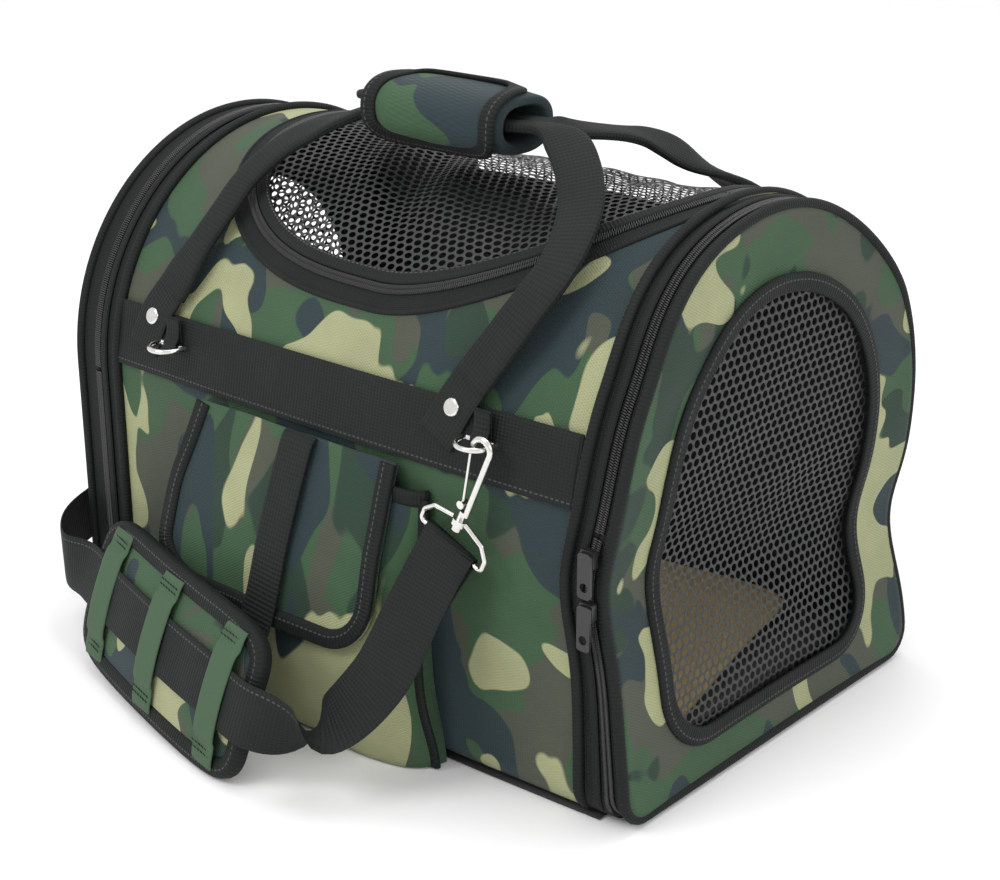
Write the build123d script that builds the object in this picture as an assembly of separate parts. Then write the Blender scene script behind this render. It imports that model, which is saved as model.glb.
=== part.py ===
from build123d import *
import math
import os

# Soft arched pet carrier. X runs along the bag, the pocket side faces -Y, Z is up,
# and the origin is the middle of the floor at the underside of the base.

# --- driving dimensions, mm -------------------------------------------------
FAR_X, NEAR_X = -210.0, 205.0      # outer faces of the two end doors
HALF_LENGTH = 210.0                # half length over which the sides bow outwards
END_HALF_WIDTH = 133.0             # half width of the bag at its ends
MID_HALF_WIDTH = 140.0             # half width in the middle, where the padded sides bow out
ARCH_Z = 160.0                     # height where the upright walls turn into the arch
PANEL = 2.0                        # foam lined fabric panel
FAR_SEAM_X, NEAR_SEAM_X = -170.0, 180.0   # where the camouflage body meets the zip bands
FAR_ZIP_X, NEAR_ZIP_X = -190.0, 195.0     # centre lines of the end door zips
WEBBING_THICK = 1.6
BELT_WIDTH, BELT_Z = 38.0, 187.0   # side belt and the height of its middle
HANDLE_WIDTH = 25.0
COIL = 5.0                         # width of both zip coils together
GAP = 0.4                          # play between parts that move past each other
DOOR_CORNER = 15.0                 # radius of the bag's lower corners
WINDOW_HALF, WINDOW_LOW, WINDOW_SPRING = 90.0, 32.0, 160.0   # clear end window
BINDING = 9.0                      # width of folded edge binding
WELT_R = 2.4                       # radius of the corded seams round each end
FLAP_X0, FLAP_X1 = -128.0, 172.0   # top flap, along the bag
FLAP_HALF = 112.0                  # top flap, half of its width seen from above
FLAP_CORNER_R = 80.0              # rounding of the flap corners on the pocket side
TAPE = 9.0                         # zip tape beside the coil
RIVETS_X = (-136.0, 97.0)          # rivets that hold the ring keepers to the belt
RIVET_Z = 201.0
HOOK_TILT = 24.0                   # lean of the hanging snap hook

BOW_R = (HALF_LENGTH**2 + (MID_HALF_WIDTH - END_HALF_WIDTH)**2) / (
    2 * (MID_HALF_WIDTH - END_HALF_WIDTH))

os.makedirs("parts", exist_ok=True)


def save(shape, name):
    export_step(shape, f"parts/{name}.step")


def bow(x, offset=0.0):
    """Distance of the bowed side from the middle plane at x, moved out by offset."""
    return MID_HALF_WIDTH - BOW_R + math.sqrt((BOW_R + offset)**2 - x**2)


def side_profile(x0, x1, inner, outer):
    """Plan section of the -Y side between two stations and two offsets."""
    xm = (x0 + x1) / 2
    rim = [ThreePointArc((x0, -bow(x0, inner)), (xm, -bow(xm, inner)), (x1, -bow(x1, inner))),
           Line((x1, -bow(x1, inner)), (x1, -bow(x1, outer))),
           ThreePointArc((x1, -bow(x1, outer)), (xm, -bow(xm, outer)), (x0, -bow(x0, outer))),
           Line((x0, -bow(x0, outer)), (x0, -bow(x0, inner)))]
    return make_face(Wire(rim))


def upright(x0, x1, inner, outer, z0, z1):
    """Upright stretch of the -Y side."""
    return Pos(0, 0, z0) * extrude(side_profile(x0, x1, inner, outer), z1 - z0, dir=(0, 0, 1))


def barrel(x0, x1, inner, outer, start, stop):
    """Arched stretch, turned about the arch axis from start to stop degrees over the -Y edge."""
    face = Pos(0, 0, ARCH_Z) * side_profile(x0, x1, inner, outer)
    axis = Axis((0, 0, ARCH_Z), (-1, 0, 0))
    return revolve(face.rotate(axis, start), axis, stop - start)


def band(x0, x1, inner, outer, low):
    """U-shaped band over both sides and the arch, down to the height low."""
    side = upright(x0, x1, inner, outer, low, ARCH_Z)
    return side + mirror(side, Plane.XZ) + barrel(x0, x1, inner, outer, 0, 180)


def arch_sketch(half, low, corner, spring=ARCH_Z):
    """Door outline: straight sides, half-round top, rounded lower corners, seen along X."""
    height = spring - low
    lower = Pos(0, (low + spring) / 2) * Rectangle(2 * half, height)
    lower = fillet(lower.vertices().group_by(Axis.Y)[0], corner)
    return Plane.YZ * (lower + Pos(0, spring) * Circle(half))


def plate(sketch, x0, x1):
    return Pos(x0, 0, 0) * extrude(sketch, x1 - x0, dir=(1, 0, 0))


def arch_path(x, half, low):
    """U-shaped line up one side, over the arch and down the other."""
    return Wire([Line((x, -half, low), (x, -half, ARCH_Z)),
                 ThreePointArc((x, -half, ARCH_Z), (x, 0, ARCH_Z + half), (x, half, ARCH_Z)),
                 Line((x, half, ARCH_Z), (x, half, low))])


def rod(path, radius):
    start = path @ 0
    section = Plane(origin=start, z_dir=path % 0) * Circle(radius)
    return sweep(section, path)


# --- floor ------------------------------------------------------------------
body_x0, body_x1 = FAR_ZIP_X + COIL / 2 + GAP, NEAR_ZIP_X - COIL / 2 - GAP
inside_half = bow(body_x1, -PANEL) - 0.2
floor_panel = Pos((body_x0 + body_x1) / 2, 0, PANEL / 2) * Box(body_x1 - body_x0, 2 * inside_half, PANEL)
save(floor_panel, "floor_panel")

BOARD_THICK, MAT_THICK = 4.0, 10.0
board = extrude(RectangleRounded(350, 244, 18), BOARD_THICK)
save(Pos(0, 0, PANEL) * board, "base_board")
mat = fillet(extrude(RectangleRounded(362, 250, 22), MAT_THICK).edges().group_by(Axis.Z)[-1], 4)
save(Pos(0, 0, PANEL + BOARD_THICK) * mat, "floor_mat")

# --- body panels ------------------------------------------------------------
SEAM_ANGLE = math.degrees(math.asin((BELT_Z - ARCH_Z) / MID_HALF_WIDTH))
front_side = upright(FAR_SEAM_X, NEAR_SEAM_X, -PANEL, 0, 0, ARCH_Z)
front_side += barrel(FAR_SEAM_X, NEAR_SEAM_X, -PANEL, 0, 0, SEAM_ANGLE)
save(front_side, "front_side_panel")
save(mirror(front_side, Plane.XZ), "back_side_panel")


def flap_outline(grow):
    """Top flap seen from above, grown by an offset; its hinge edge lies at +Y."""
    x0, x1, half = FLAP_X0 - grow, FLAP_X1 + grow, FLAP_HALF
    outline = Pos((x0 + x1) / 2, -grow / 2) * Rectangle(x1 - x0, 2 * half + grow)
    front = outline.vertices().group_by(Axis.Y)[0]
    outline = fillet(front, FLAP_CORNER_R + grow)
    return outline


def dome_piece(sketch, inner, outer, x0=FAR_SEAM_X, x1=NEAR_SEAM_X):
    """Part of the arch that lies under a plan outline."""
    return barrel(x0, x1, inner, outer, 20, 160) & extrude(sketch, 400)


roof = barrel(FAR_SEAM_X, NEAR_SEAM_X, -PANEL, 0, SEAM_ANGLE, 180 - SEAM_ANGLE)
HINGE_FOLD = 1.0
tape_ring = flap_outline(TAPE + COIL / 2) - flap_outline(COIL / 2)
roof -= extrude(flap_outline(TAPE + COIL / 2), 400)
save(roof, "roof_panel")
save(dome_piece(tape_ring, -PANEL, 0), "roof_zip_tape")
outer_coil = flap_outline(COIL / 2 - 0.1) - flap_outline(GAP)
save(dome_piece(outer_coil, -PANEL, 1.2), "roof_zip_coil")

# --- top flap ---------------------------------------------------------------
inner_coil = flap_outline(-GAP) - flap_outline(-COIL / 2)
hinge_trim = Pos((FLAP_X0 + FLAP_X1) / 2, FLAP_HALF) * Rectangle(FLAP_X1 - FLAP_X0 + 60, 2 * HINGE_FOLD)
save(dome_piece(inner_coil - hinge_trim, -PANEL, 1.2), "flap_zip_coil")
flap_tape = flap_outline(-COIL / 2 - 0.1) - flap_outline(-COIL / 2 - TAPE)
back_strip = Pos((FLAP_X0 + FLAP_X1) / 2, FLAP_HALF - TAPE / 2 - HINGE_FOLD) * Rectangle(
    FLAP_X1 - FLAP_X0 - COIL - 1, TAPE)
flap_tape = (flap_tape + back_strip) - hinge_trim
save(dome_piece(flap_tape, -PANEL, 0), "flap_binding")
mesh_outline = flap_outline(-COIL / 2 - TAPE) - (
    Pos((FLAP_X0 + FLAP_X1) / 2, FLAP_HALF) * Rectangle(FLAP_X1 - FLAP_X0 + 60, 2 * (HINGE_FOLD + TAPE)))
save(dome_piece(mesh_outline, -PANEL + 0.5, -0.5), "flap_mesh")

# --- side belts -------------------------------------------------------------
belt_low = math.degrees(math.asin((BELT_Z - BELT_WIDTH / 2 - ARCH_Z) / MID_HALF_WIDTH))
belt_high = math.degrees(math.asin((BELT_Z + BELT_WIDTH / 2 - ARCH_Z) / MID_HALF_WIDTH))
WELT_PLAY = 3.0                    # the belts stop short of the corded seams
front_belt = barrel(FAR_SEAM_X + WELT_PLAY, NEAR_SEAM_X - WELT_PLAY, 0, WEBBING_THICK, belt_low, belt_high)
save(Compound([front_belt, mirror(front_belt, Plane.XZ)]), "side_belts")

# --- ends: tapes, coils, corded seams, hoops and doors ----------------------
SEAM_WELT_LIFT = WELT_R + 0.05
DOOR_LOW = 5.0
RIM_HALF = END_HALF_WIDTH - PANEL
HOOP_R, HOOP_PLAY = 1.2, 0.1


def build_end(name, sign, seam_x, zip_x, face_x):
    """One end of the bag: sign is +1 for the end at +X and -1 for the end at -X."""
    def span(a, b):
        return (min(a, b), max(a, b))

    body_edge = zip_x - sign * COIL / 2
    tape = band(*span(seam_x, body_edge), -PANEL, 0, 0)
    coil_half = END_HALF_WIDTH + 1.5
    coil_in = END_HALF_WIDTH - 1.5
    coils = []
    for low, x0, x1 in ((3.0, body_edge + sign * 0.1, zip_x - sign * GAP / 2),
                        (DOOR_LOW, zip_x + sign * GAP / 2, zip_x + sign * (COIL / 2 - 0.1))):
        ring = arch_sketch(coil_half, low, DOOR_CORNER) - arch_sketch(coil_in, low - 8, DOOR_CORNER)
        coils.append(plate(ring, *span(x0, x1)))
    save(coils[1], f"{name}_door_coil")
    rim_edge = zip_x + sign * COIL / 2
    inner_face = face_x - sign * PANEL
    rim = arch_sketch(RIM_HALF + PANEL, DOOR_LOW, DOOR_CORNER) - arch_sketch(
        RIM_HALF, DOOR_LOW + PANEL, DOOR_CORNER - PANEL)
    save(plate(rim, *span(rim_edge, inner_face)), f"{name}_door_rim")
    window = arch_sketch(WINDOW_HALF, WINDOW_LOW, 30, WINDOW_SPRING)
    face = arch_sketch(RIM_HALF + PANEL, DOOR_LOW, DOOR_CORNER)
    save(plate(face - window, *span(inner_face, face_x)), f"{name}_door_panel")
    save(plate(window, *span(face_x - sign * 1.5, face_x - sign * 0.5)), f"{name}_door_mesh")
    border = arch_sketch(WINDOW_HALF + BINDING, WINDOW_LOW - BINDING, 38, WINDOW_SPRING)
    save(plate(border - window, *span(face_x, face_x + sign * 1.4)), f"{name}_window_binding")
    lift = END_HALF_WIDTH + WELT_R
    welt_x = face_x - sign * WELT_R
    save(rod(arch_path(welt_x, lift, DOOR_CORNER + DOOR_LOW), WELT_R), f"{name}_door_welt")
    seam_half = bow(seam_x) + SEAM_WELT_LIFT
    casing = rod(arch_path(seam_x, seam_half, 1.0), WELT_R)
    hoop = rod(arch_path(seam_x, seam_half, 1.0), HOOP_R)
    casing -= rod(arch_path(seam_x, seam_half, 0.0), HOOP_R + HOOP_PLAY)
    return {"end_zip_tapes": tape, "end_body_coils": coils[0], "seam_welts": casing, "arch_hoops": hoop}


near_end = build_end("near", 1, NEAR_SEAM_X, NEAR_ZIP_X, NEAR_X)
far_end = build_end("far", -1, FAR_SEAM_X, FAR_ZIP_X, FAR_X)
for node, piece in near_end.items():
    save(Compound([piece, far_end[node]]), node)

# --- zip sliders and pulls --------------------------------------------------
SLIDER = (8.0, 4.0, 10.0)          # along X, away from the bag, along the zip
SLIDER_LIFT = 4.6                  # inner face of an end slider from the bag's side
SLIDER_Z = 147.0                   # middle of the upper slider
PULL_LENGTH = 24.0


def slider_block():
    block = Box(*SLIDER)
    return fillet(block.edges().filter_by(Axis.Y), 1.5)


def pull_tab():
    """Flat pull with a round hole; its top edge is at z = 0."""
    outline = Pos(0, -PULL_LENGTH / 2) * RectangleRounded(8, PULL_LENGTH, 2)
    outline -= Pos(0, -PULL_LENGTH + 6) * Circle(2.4)
    return extrude(Plane.XZ * outline, 1.4)


def build_slider(name, x, z, turn):
    """Slider and pull on an upright run; turn is 0 at -Y and 180 at +Y."""
    y = -(END_HALF_WIDTH + SLIDER_LIFT + SLIDER[1] / 2)
    seat = Rot(0, 0, turn) * Pos(0, y, z)
    tab = Rot(0, 0, turn) * Pos(0, y - SLIDER[1] / 2 - GAP, z + SLIDER[2] / 2 - 1)
    place = Pos(x, 0, 0)
    save(place * seat * slider_block(), f"{name}_slider")
    save(place * tab * pull_tab(), f"{name}_pull")


NEAR_SLIDER_INSET = 7.0            # the near zip is drawn in at the waist, where its sliders meet
for end, x, turn in (("near", NEAR_ZIP_X - NEAR_SLIDER_INSET, 0), ("far", FAR_ZIP_X, 180)):
    build_slider(f"{end}_upper", x, SLIDER_Z, turn)
    build_slider(f"{end}_lower", x, SLIDER_Z - 28, turn)

ROOF_SLIDER_TURN = 50.0            # parked slider of the top zip, degrees up from the +Y edge
roof_slider_x = FLAP_X0 - GAP - SLIDER[0] / 2 - 0.2
roof_reach = bow(roof_slider_x, 1.2) + GAP
ride = Axis((0, 0, ARCH_Z), (1, 0, 0))
roof_slider = Pos(roof_slider_x, roof_reach + SLIDER[1] / 2, ARCH_Z) * slider_block()
roof_pull = Pos(roof_slider_x, roof_reach + SLIDER[1] + GAP, ARCH_Z + SLIDER[2] / 2 - 1) * (
    Rot(0, 0, 180) * pull_tab())
save(roof_slider.rotate(ride, ROOF_SLIDER_TURN), "roof_slider")
save(roof_pull.rotate(ride, ROOF_SLIDER_TURN), "roof_pull")

# --- pocket -----------------------------------------------------------------
POCKET_X0, POCKET_X1 = -80.0, 80.0
POCKET_FRONT = [(-158, 1), (-172, 42), (-147, 148)]   # floor, bulge and mouth of the front, in Y, Z
FLAP_TOP = (-144.8, 166.0)         # hinge line of the pocket flap
FLAP_DROP, FLAP_LEAN = 106.0, 15.5
POCKET_FLAP_X0, POCKET_FLAP_X1 = -85.0, 66.0
FLAP_THICK = 2.5


def pocket_prism(inset, top, x0, x1):
    low, bulge, mouth = POCKET_FRONT
    points = [(-130, low[1] + inset), (low[0] + inset, low[1] + inset), (bulge[0] + inset, bulge[1]),
              (mouth[0] + inset, mouth[1])]
    if top > mouth[1]:
        points.append((mouth[0] + inset, top))
    points.append((-130, top))
    outline = make_face(Polyline(*points, close=True))
    return Pos(x0, 0, 0) * extrude(Plane.YZ * outline, x1 - x0, dir=(1, 0, 0))


bag_core = upright(FAR_SEAM_X, NEAR_SEAM_X, -40, 0, -10, 200)
pocket = pocket_prism(0, POCKET_FRONT[2][1], POCKET_X0, POCKET_X1)
pocket -= pocket_prism(PANEL, ARCH_Z, POCKET_X0 + PANEL, POCKET_X1 - PANEL)
save(pocket - bag_core, "pocket_body")

flap_middle = (POCKET_FLAP_X0 + POCKET_FLAP_X1) / 2
flap_width = POCKET_FLAP_X1 - POCKET_FLAP_X0


def flap_plan(width, drop, radius):
    shape = Pos(0, -drop / 2) * Rectangle(width, drop)
    return fillet(shape.vertices().group_by(Axis.Y)[0], radius)


flap_frame = Pos(flap_middle, *FLAP_TOP) * Rot(-FLAP_LEAN, 0, 0)
panel_plan = flap_plan(flap_width - 2 * BINDING, FLAP_DROP - BINDING, 22)
border_plan = flap_plan(flap_width, FLAP_DROP, 30) - panel_plan
save(flap_frame * extrude(Plane.XZ * panel_plan, FLAP_THICK), "pocket_flap_panel")
save(flap_frame * extrude(Plane.XZ * border_plan, FLAP_THICK + 1), "pocket_flap_binding")
tab_plan = Pos(8, -(FLAP_DROP + 14) / 2) * Rectangle(HANDLE_WIDTH, FLAP_DROP + 14)
save(flap_frame * Pos(0, -FLAP_THICK - 1.1, 0) * extrude(Plane.XZ * tab_plan, WEBBING_THICK), "pocket_tab")

# --- handle anchors, rivets, rings ------------------------------------------
ANCHOR_LENGTH = 24.0
RIVET_R, RIVET_HEAD = 5.0, 1.8
RING_WIRE, RING_HALF, RING_REACH = 1.5, 10.0, 14.0
RING_SHIFT, RING_Z = 22.0, 190.0
KEEPER_WIDTH = 9.0


def side_y(x, z, offset):
    """Y of the bag's -Y side at a point of the arch, moved out by offset."""
    return -math.sqrt((bow(x, 0) + offset)**2 - max(z - ARCH_Z, 0)**2)


def anchor(x, lean):
    """End of a handle's webbing, laid flat on the belt and leaning along the bag."""
    y = side_y(x, RIVET_Z, WEBBING_THICK)
    slope = math.degrees(math.asin((RIVET_Z - ARCH_Z) / bow(x)))
    strip = Pos(0, -1.6, 0) * Box(HANDLE_WIDTH, WEBBING_THICK, ANCHOR_LENGTH)
    seat = Pos(x, y, RIVET_Z) * Rot(-slope, 0, 0) * Rot(0, lean, 0)
    head = Pos(0, -2.4, 0) * Rot(90, 0, 0) * extrude(Circle(RIVET_R), RIVET_HEAD)
    head = fillet(head.edges().group_by(Axis.Y)[0], 1.5)
    return seat * strip, seat * head


def d_ring():
    """D-ring lifted square to the wall: bar along X at the origin, bow towards -Y."""
    bar = rod(Wire([Line((-RING_HALF, 0, 0), (RING_HALF, 0, 0))]), RING_WIRE)
    bow_path = Wire([Line((RING_HALF, 0, 0), (RING_HALF, -4, 0)),
                     ThreePointArc((RING_HALF, -4, 0), (0, -RING_REACH, 0), (-RING_HALF, -4, 0)),
                     Line((-RING_HALF, -4, 0), (-RING_HALF, 0, 0))])
    corners = [Pos(s * RING_HALF, 0, 0) * Sphere(RING_WIRE) for s in (-1, 1)]
    return bar + rod(bow_path, RING_WIRE) + corners[0] + corners[1]


def keeper():
    """Folded webbing loop round the ring's bar, sewn to the belt above it."""
    hole = RING_WIRE + 0.3
    loop = extrude(Plane.YZ * Circle(hole + 1.2), KEEPER_WIDTH / 2, both=True)
    tail = Pos(0, 1.9, 6) * Box(KEEPER_WIDTH, 1.2, 12)
    return (loop + tail) - extrude(Plane.YZ * Circle(hole), KEEPER_WIDTH, both=True)


anchors, rivets, keepers, rings = [], [], [], {}
for label, x, lean in (("left", RIVETS_X[0], 25.0), ("right", RIVETS_X[1], 40.0)):
    strip, head = anchor(x, lean)
    anchors.append(strip)
    rivets.append(head)
    ring_x = x + RING_SHIFT
    seat = Pos(ring_x, side_y(ring_x, RING_Z, WEBBING_THICK) - 3.4, RING_Z)
    keepers.append(seat * keeper())
    rings[label] = seat * d_ring()
save(Compound(anchors + [mirror(a, Plane.XZ) for a in anchors]), "handle_anchors")
save(Compound(rivets + [mirror(r, Plane.XZ) for r in rivets]), "rivets")
save(Compound(keepers + [mirror(k, Plane.XZ) for k in keepers]), "ring_keepers")
for label, ring in rings.items():
    save(ring, f"front_{label}_ring")
    save(mirror(ring, Plane.XZ), f"back_{label}_ring")

# --- carrying handles -------------------------------------------------------
HANDLE_R = 3.5                     # folded webbing, drawn round
GRIP_Z, NEAR_GRIP_Y, FAR_GRIP_Y = 320.0, -33.0, -17.0
GRIP_X0, GRIP_X1 = -60.0, 67.0


def around(x, angle, lift):
    """Point over the arch: degrees up from the -Y edge and height above the panel."""
    reach = bow(x) + lift
    turn = math.radians(angle)
    return (x, -reach * math.cos(turn), ARCH_Z + reach * math.sin(turn))


def handle(points):
    runs = [(Vector(*b) - Vector(*a)).length for a, b in zip(points, points[1:])]
    radii = []
    for i in range(1, len(points) - 1):
        before = Vector(*points[i]) - Vector(*points[i - 1])
        after = Vector(*points[i + 1]) - Vector(*points[i])
        turn = math.radians(max(before.get_angle(after), 2.0))
        radii.append(0.42 * min(runs[i - 1], runs[i]) / math.tan(turn / 2))
    path = FilletPolyline(*points, radius=radii)
    return rod(Wire(path.edges()), HANDLE_R)


left_leg = [around(-130, 23, 8), around(-124, 38, 11), around(-108, 53, 12), around(-88, 68, 14)]
right_leg = [around(107, 23, 8), around(122, 37, 12), around(126, 52, 12), around(110, 66, 12)]
near_grip = [(GRIP_X0 - 12, NEAR_GRIP_Y, GRIP_Z), (GRIP_X1 + 14, NEAR_GRIP_Y, GRIP_Z)]
save(handle(left_leg + near_grip + right_leg[::-1]), "near_handle")
far_left = [around(-130, 157, 8), around(-126, 143, 14), around(-112, 128, 13), around(-90, 108, 13)]
far_right = [around(107, 157, 8), around(108, 143, 18), around(92, 128, 13), around(76, 108, 13)]
far_grip = [(GRIP_X0 - 14, FAR_GRIP_Y, GRIP_Z), (GRIP_X1 + 2, FAR_GRIP_Y, GRIP_Z)]
save(handle(far_left + far_grip + far_right[::-1]), "far_handle")

grip_outer = RectangleRounded(52, 34, 15)
grip_inner = RectangleRounded(28, 12, 5)
grip = Pos(GRIP_X0 + 4, (NEAR_GRIP_Y + FAR_GRIP_Y) / 2, GRIP_Z) * extrude(
    Plane.YZ * (grip_outer - grip_inner), GRIP_X1 - GRIP_X0 - 18)
save(grip, "grip_wrap")

# --- snap hooks -------------------------------------------------------------
HOOK_WIRE, HOOK_BEND, HOOK_RISE = 1.8, 5.5, 41.0
LOOP_WIRE, LOOP_DROP = 1.5, 19.0
GATE_WIRE = 0.8
SHAFT_X = 2.0


def hook_body():
    """Wire hook over its swivel; local Z runs up the shaft."""
    far_side = SHAFT_X - 2 * HOOK_BEND
    path = Wire([Line((SHAFT_X, 0, 2), (SHAFT_X, 0, HOOK_RISE)),
                 ThreePointArc((SHAFT_X, 0, HOOK_RISE), (SHAFT_X - HOOK_BEND, 0, HOOK_RISE + HOOK_BEND),
                               (far_side, 0, HOOK_RISE)),
                 Line((far_side, 0, HOOK_RISE), (far_side, 0, HOOK_RISE - 5))])
    stem = Pos(0, 0, -5) * extrude(Circle(2.2), 9)
    head = Pos(0, 0, -8) * extrude(Circle(3.2), 3)
    return rod(path, HOOK_WIRE) + stem + head


def hook_gate():
    """Spring wire gate, coiled round the shaft's foot and closing on the hook's tip."""
    coil = Pos(SHAFT_X - 4.2, 0, 7) * (Rot(90, 0, 0) * extrude(Circle(2.2), 2.4, both=True))
    leg = rod(Wire([Line((SHAFT_X - 4.2, 0, 7), (SHAFT_X - 2 * HOOK_BEND, 0, HOOK_RISE - 5.6))]), GATE_WIRE)
    return coil + leg


def hook_loop():
    """Wire loop that carries the webbing and turns on the hook's stem."""
    collar = Pos(0, 0, -4.4) * extrude(Circle(4.4) - Circle(2.26), 3.6)
    right = [(4, 0, -2.6), (17, 0, -6), (22, 0, -12), (22, 0, -LOOP_DROP), (0, 0, -LOOP_DROP)]
    sides = []
    for sign in (-1, 1):
        sides.append(rod(Wire(FilletPolyline(*[(sign * x, y, z) for x, y, z in right], radius=2.5).edges()),
                         LOOP_WIRE))
    return collar + sides[0] + sides[1]


ring_x = RIVETS_X[1] + RING_SHIFT
ring_y = side_y(ring_x, RING_Z, WEBBING_THICK) - 3.4
catch = Vector(ring_x + RING_HALF * math.cos(math.radians(30)),
               ring_y - 4 - RING_HALF * math.sin(math.radians(30)), RING_Z)
tilt = math.radians(HOOK_TILT)
catch_x = SHAFT_X - HOOK_BEND
swivel_x = catch.X - catch_x * math.cos(tilt) - HOOK_RISE * math.sin(tilt)
swivel_z = catch.Z + catch_x * math.sin(tilt) - HOOK_RISE * math.cos(tilt)
front_hook = Pos(swivel_x, catch.Y, swivel_z) * Rot(0, HOOK_TILT, 0)
BACK_SHIFT = RIVETS_X[0] - RIVETS_X[1]
def to_back(piece):
    return Pos(BACK_SHIFT, 0, 0) * mirror(piece, Plane.XZ)


for node, piece in (("hook", hook_body()), ("hook_gate", hook_gate())):
    save(front_hook * piece, f"front_{node}")
    save(to_back(front_hook * piece), f"back_{node}")
loop_piece = front_hook * hook_loop()
save(Compound([loop_piece, to_back(loop_piece)]), "hook_loops")

# --- shoulder strap and pad -------------------------------------------------
PAD_SIZE = (186.0, 84.0, 9.0)
PAD_CENTRE = (-60.0, -203.0, 44.5)
PAD_PLANE = Plane(origin=PAD_CENTRE, x_dir=(0.974, -0.226, 0), z_dir=(-0.212, -0.916, 0.341))
STRAP_WIDTH = 38.0


def ribbon(stations):
    """Flat webbing through stations of a centre and a point at one edge direction."""
    sections = []
    for i, (centre, across) in enumerate(stations):
        before = Vector(*stations[max(i - 1, 0)][0])
        after = Vector(*stations[min(i + 1, len(stations) - 1)][0])
        along = (after - before).normalized()
        side = Vector(*across).normalized()
        side = (side - along * side.dot(along)).normalized()
        plane = Plane(origin=centre, x_dir=side, z_dir=along)
        sections.append(plane * Rectangle(STRAP_WIDTH, WEBBING_THICK))
    return Compound([loft([a, b], ruled=True) for a, b in zip(sections, sections[1:])])


def on_pad(u, v, lift):
    point = PAD_PLANE.from_local_coords(Vector(u, v, lift))
    return (point.X, point.Y, point.Z)


pad_up = (0.07, 0.33, 0.94)
hook_across = (math.cos(tilt), 0, -math.sin(tilt))
strap_lift = PAD_SIZE[2] / 2 + 1.2
pad = extrude(RectangleRounded(PAD_SIZE[0], PAD_SIZE[1], 16), PAD_SIZE[2] / 2, both=True)
pad = fillet(pad.edges().group_by(Axis.Z)[0] + pad.edges().group_by(Axis.Z)[-1], 3)
save(PAD_PLANE * pad, "shoulder_pad")
loops = []
for u in (-68.0, 0.0, 68.0):
    loops.append(PAD_PLANE * Pos(u, 0, PAD_SIZE[2] / 2 + 2.9) * Box(20, 78, 1.2))
save(Compound(loops), "pad_loops")

bar_x = swivel_x - (LOOP_DROP + 3.4) * math.sin(tilt)
bar_z = swivel_z - (LOOP_DROP + 3.4) * math.cos(tilt)
strap_top = bar_z - 0.6             # the strap starts clear below the loop sewn round the hook bar
upright_edge = (0, 0, 1)
strap_stations = [
    ((bar_x, catch.Y - 0.5, strap_top), hook_across), ((bar_x - 12, -165, bar_z - 27), hook_across),
    ((bar_x - 34, -188, bar_z - 72), (0.9, 0.1, -0.4)), ((55, -204, 38), (0.75, 0.1, 0.3)),
    (on_pad(100, 2, strap_lift), pad_up), (on_pad(-100, 2, strap_lift), pad_up),
    ((-188, -172, 48), upright_edge), ((-214, -146, 52), upright_edge), ((-227, -90, 58), upright_edge),
    ((-229, 0, 70), upright_edge), ((-227, 90, 84), upright_edge), ((-212, 142, 94), upright_edge),
    ((-182, 158, 104), (-0.25, 0, 0.97)), ((bar_x + BACK_SHIFT - 9, 158, bar_z - 14), (-0.7, 0, 0.7)),
    ((bar_x + BACK_SHIFT, -catch.Y + 0.5, strap_top), (-math.cos(tilt), 0, math.sin(tilt)))]
save(ribbon(strap_stations), "shoulder_strap")
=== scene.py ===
"""Soft arched pet carrier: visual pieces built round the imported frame."""
import math

import bmesh
import bpy
import numpy as np
from mathutils import Matrix, Vector


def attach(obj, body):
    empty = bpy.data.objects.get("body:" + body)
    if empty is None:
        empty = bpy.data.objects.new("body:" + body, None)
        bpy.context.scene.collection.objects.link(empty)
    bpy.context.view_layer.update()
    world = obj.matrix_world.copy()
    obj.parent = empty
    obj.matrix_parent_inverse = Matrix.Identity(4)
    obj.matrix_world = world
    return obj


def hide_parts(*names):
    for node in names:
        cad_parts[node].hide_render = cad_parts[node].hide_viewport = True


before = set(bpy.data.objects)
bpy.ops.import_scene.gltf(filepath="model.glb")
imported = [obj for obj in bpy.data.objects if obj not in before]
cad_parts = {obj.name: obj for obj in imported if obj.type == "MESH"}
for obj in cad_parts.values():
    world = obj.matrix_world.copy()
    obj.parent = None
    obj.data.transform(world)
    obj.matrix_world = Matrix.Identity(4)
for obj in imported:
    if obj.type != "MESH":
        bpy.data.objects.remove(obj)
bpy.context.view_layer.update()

bl_info = {
    "name": "Arched Pet Carrier",
    "version": (1, 0, 0),
    "blender": (4, 5, 0),
    "location": "View3D > Sidebar > Carrier",
    "description": "Builds the soft pieces, nets, zips and finishes of an arched pet carrier",
    "category": "Add Mesh",
}

MM = 0.001

# Sizes of the bag, in metres, shared with the frame.
FAR_X, NEAR_X = -0.210, 0.205
HALF_LENGTH, END_HALF, MID_HALF, ARCH_Z = 0.210, 0.133, 0.140, 0.160
FAR_SEAM, NEAR_SEAM = -0.170, 0.180
FAR_ZIP, NEAR_ZIP = -0.190, 0.195
BELT_Z, BELT_WIDTH, BELT_STITCH = 0.187, 0.038, 0.0155
FLAP_X0, FLAP_X1, FLAP_HALF = -0.128, 0.172, 0.112
WINDOW_HALF, WINDOW_LOW = 0.090, 0.032
CORNER_R = 0.015
BOW_R = (HALF_LENGTH**2 + (MID_HALF - END_HALF)**2) / (2 * (MID_HALF - END_HALF))
SEAM_ANGLE = math.asin((BELT_Z - ARCH_Z) / MID_HALF)
NET_PITCH = 0.0060
COIL_PITCH, COIL_LINK = 0.0013, (0.0015, 0.00052, 0.0011)
BAG_MIDDLE = np.array([0.0, 0.0, 0.13])


# --- shape of the bag ---------------------------------------------------------
def signed_power(value, power):
    """Power of a value's size that keeps its sign, for superellipse sections."""
    return np.sign(value) * np.abs(value)**power


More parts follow.
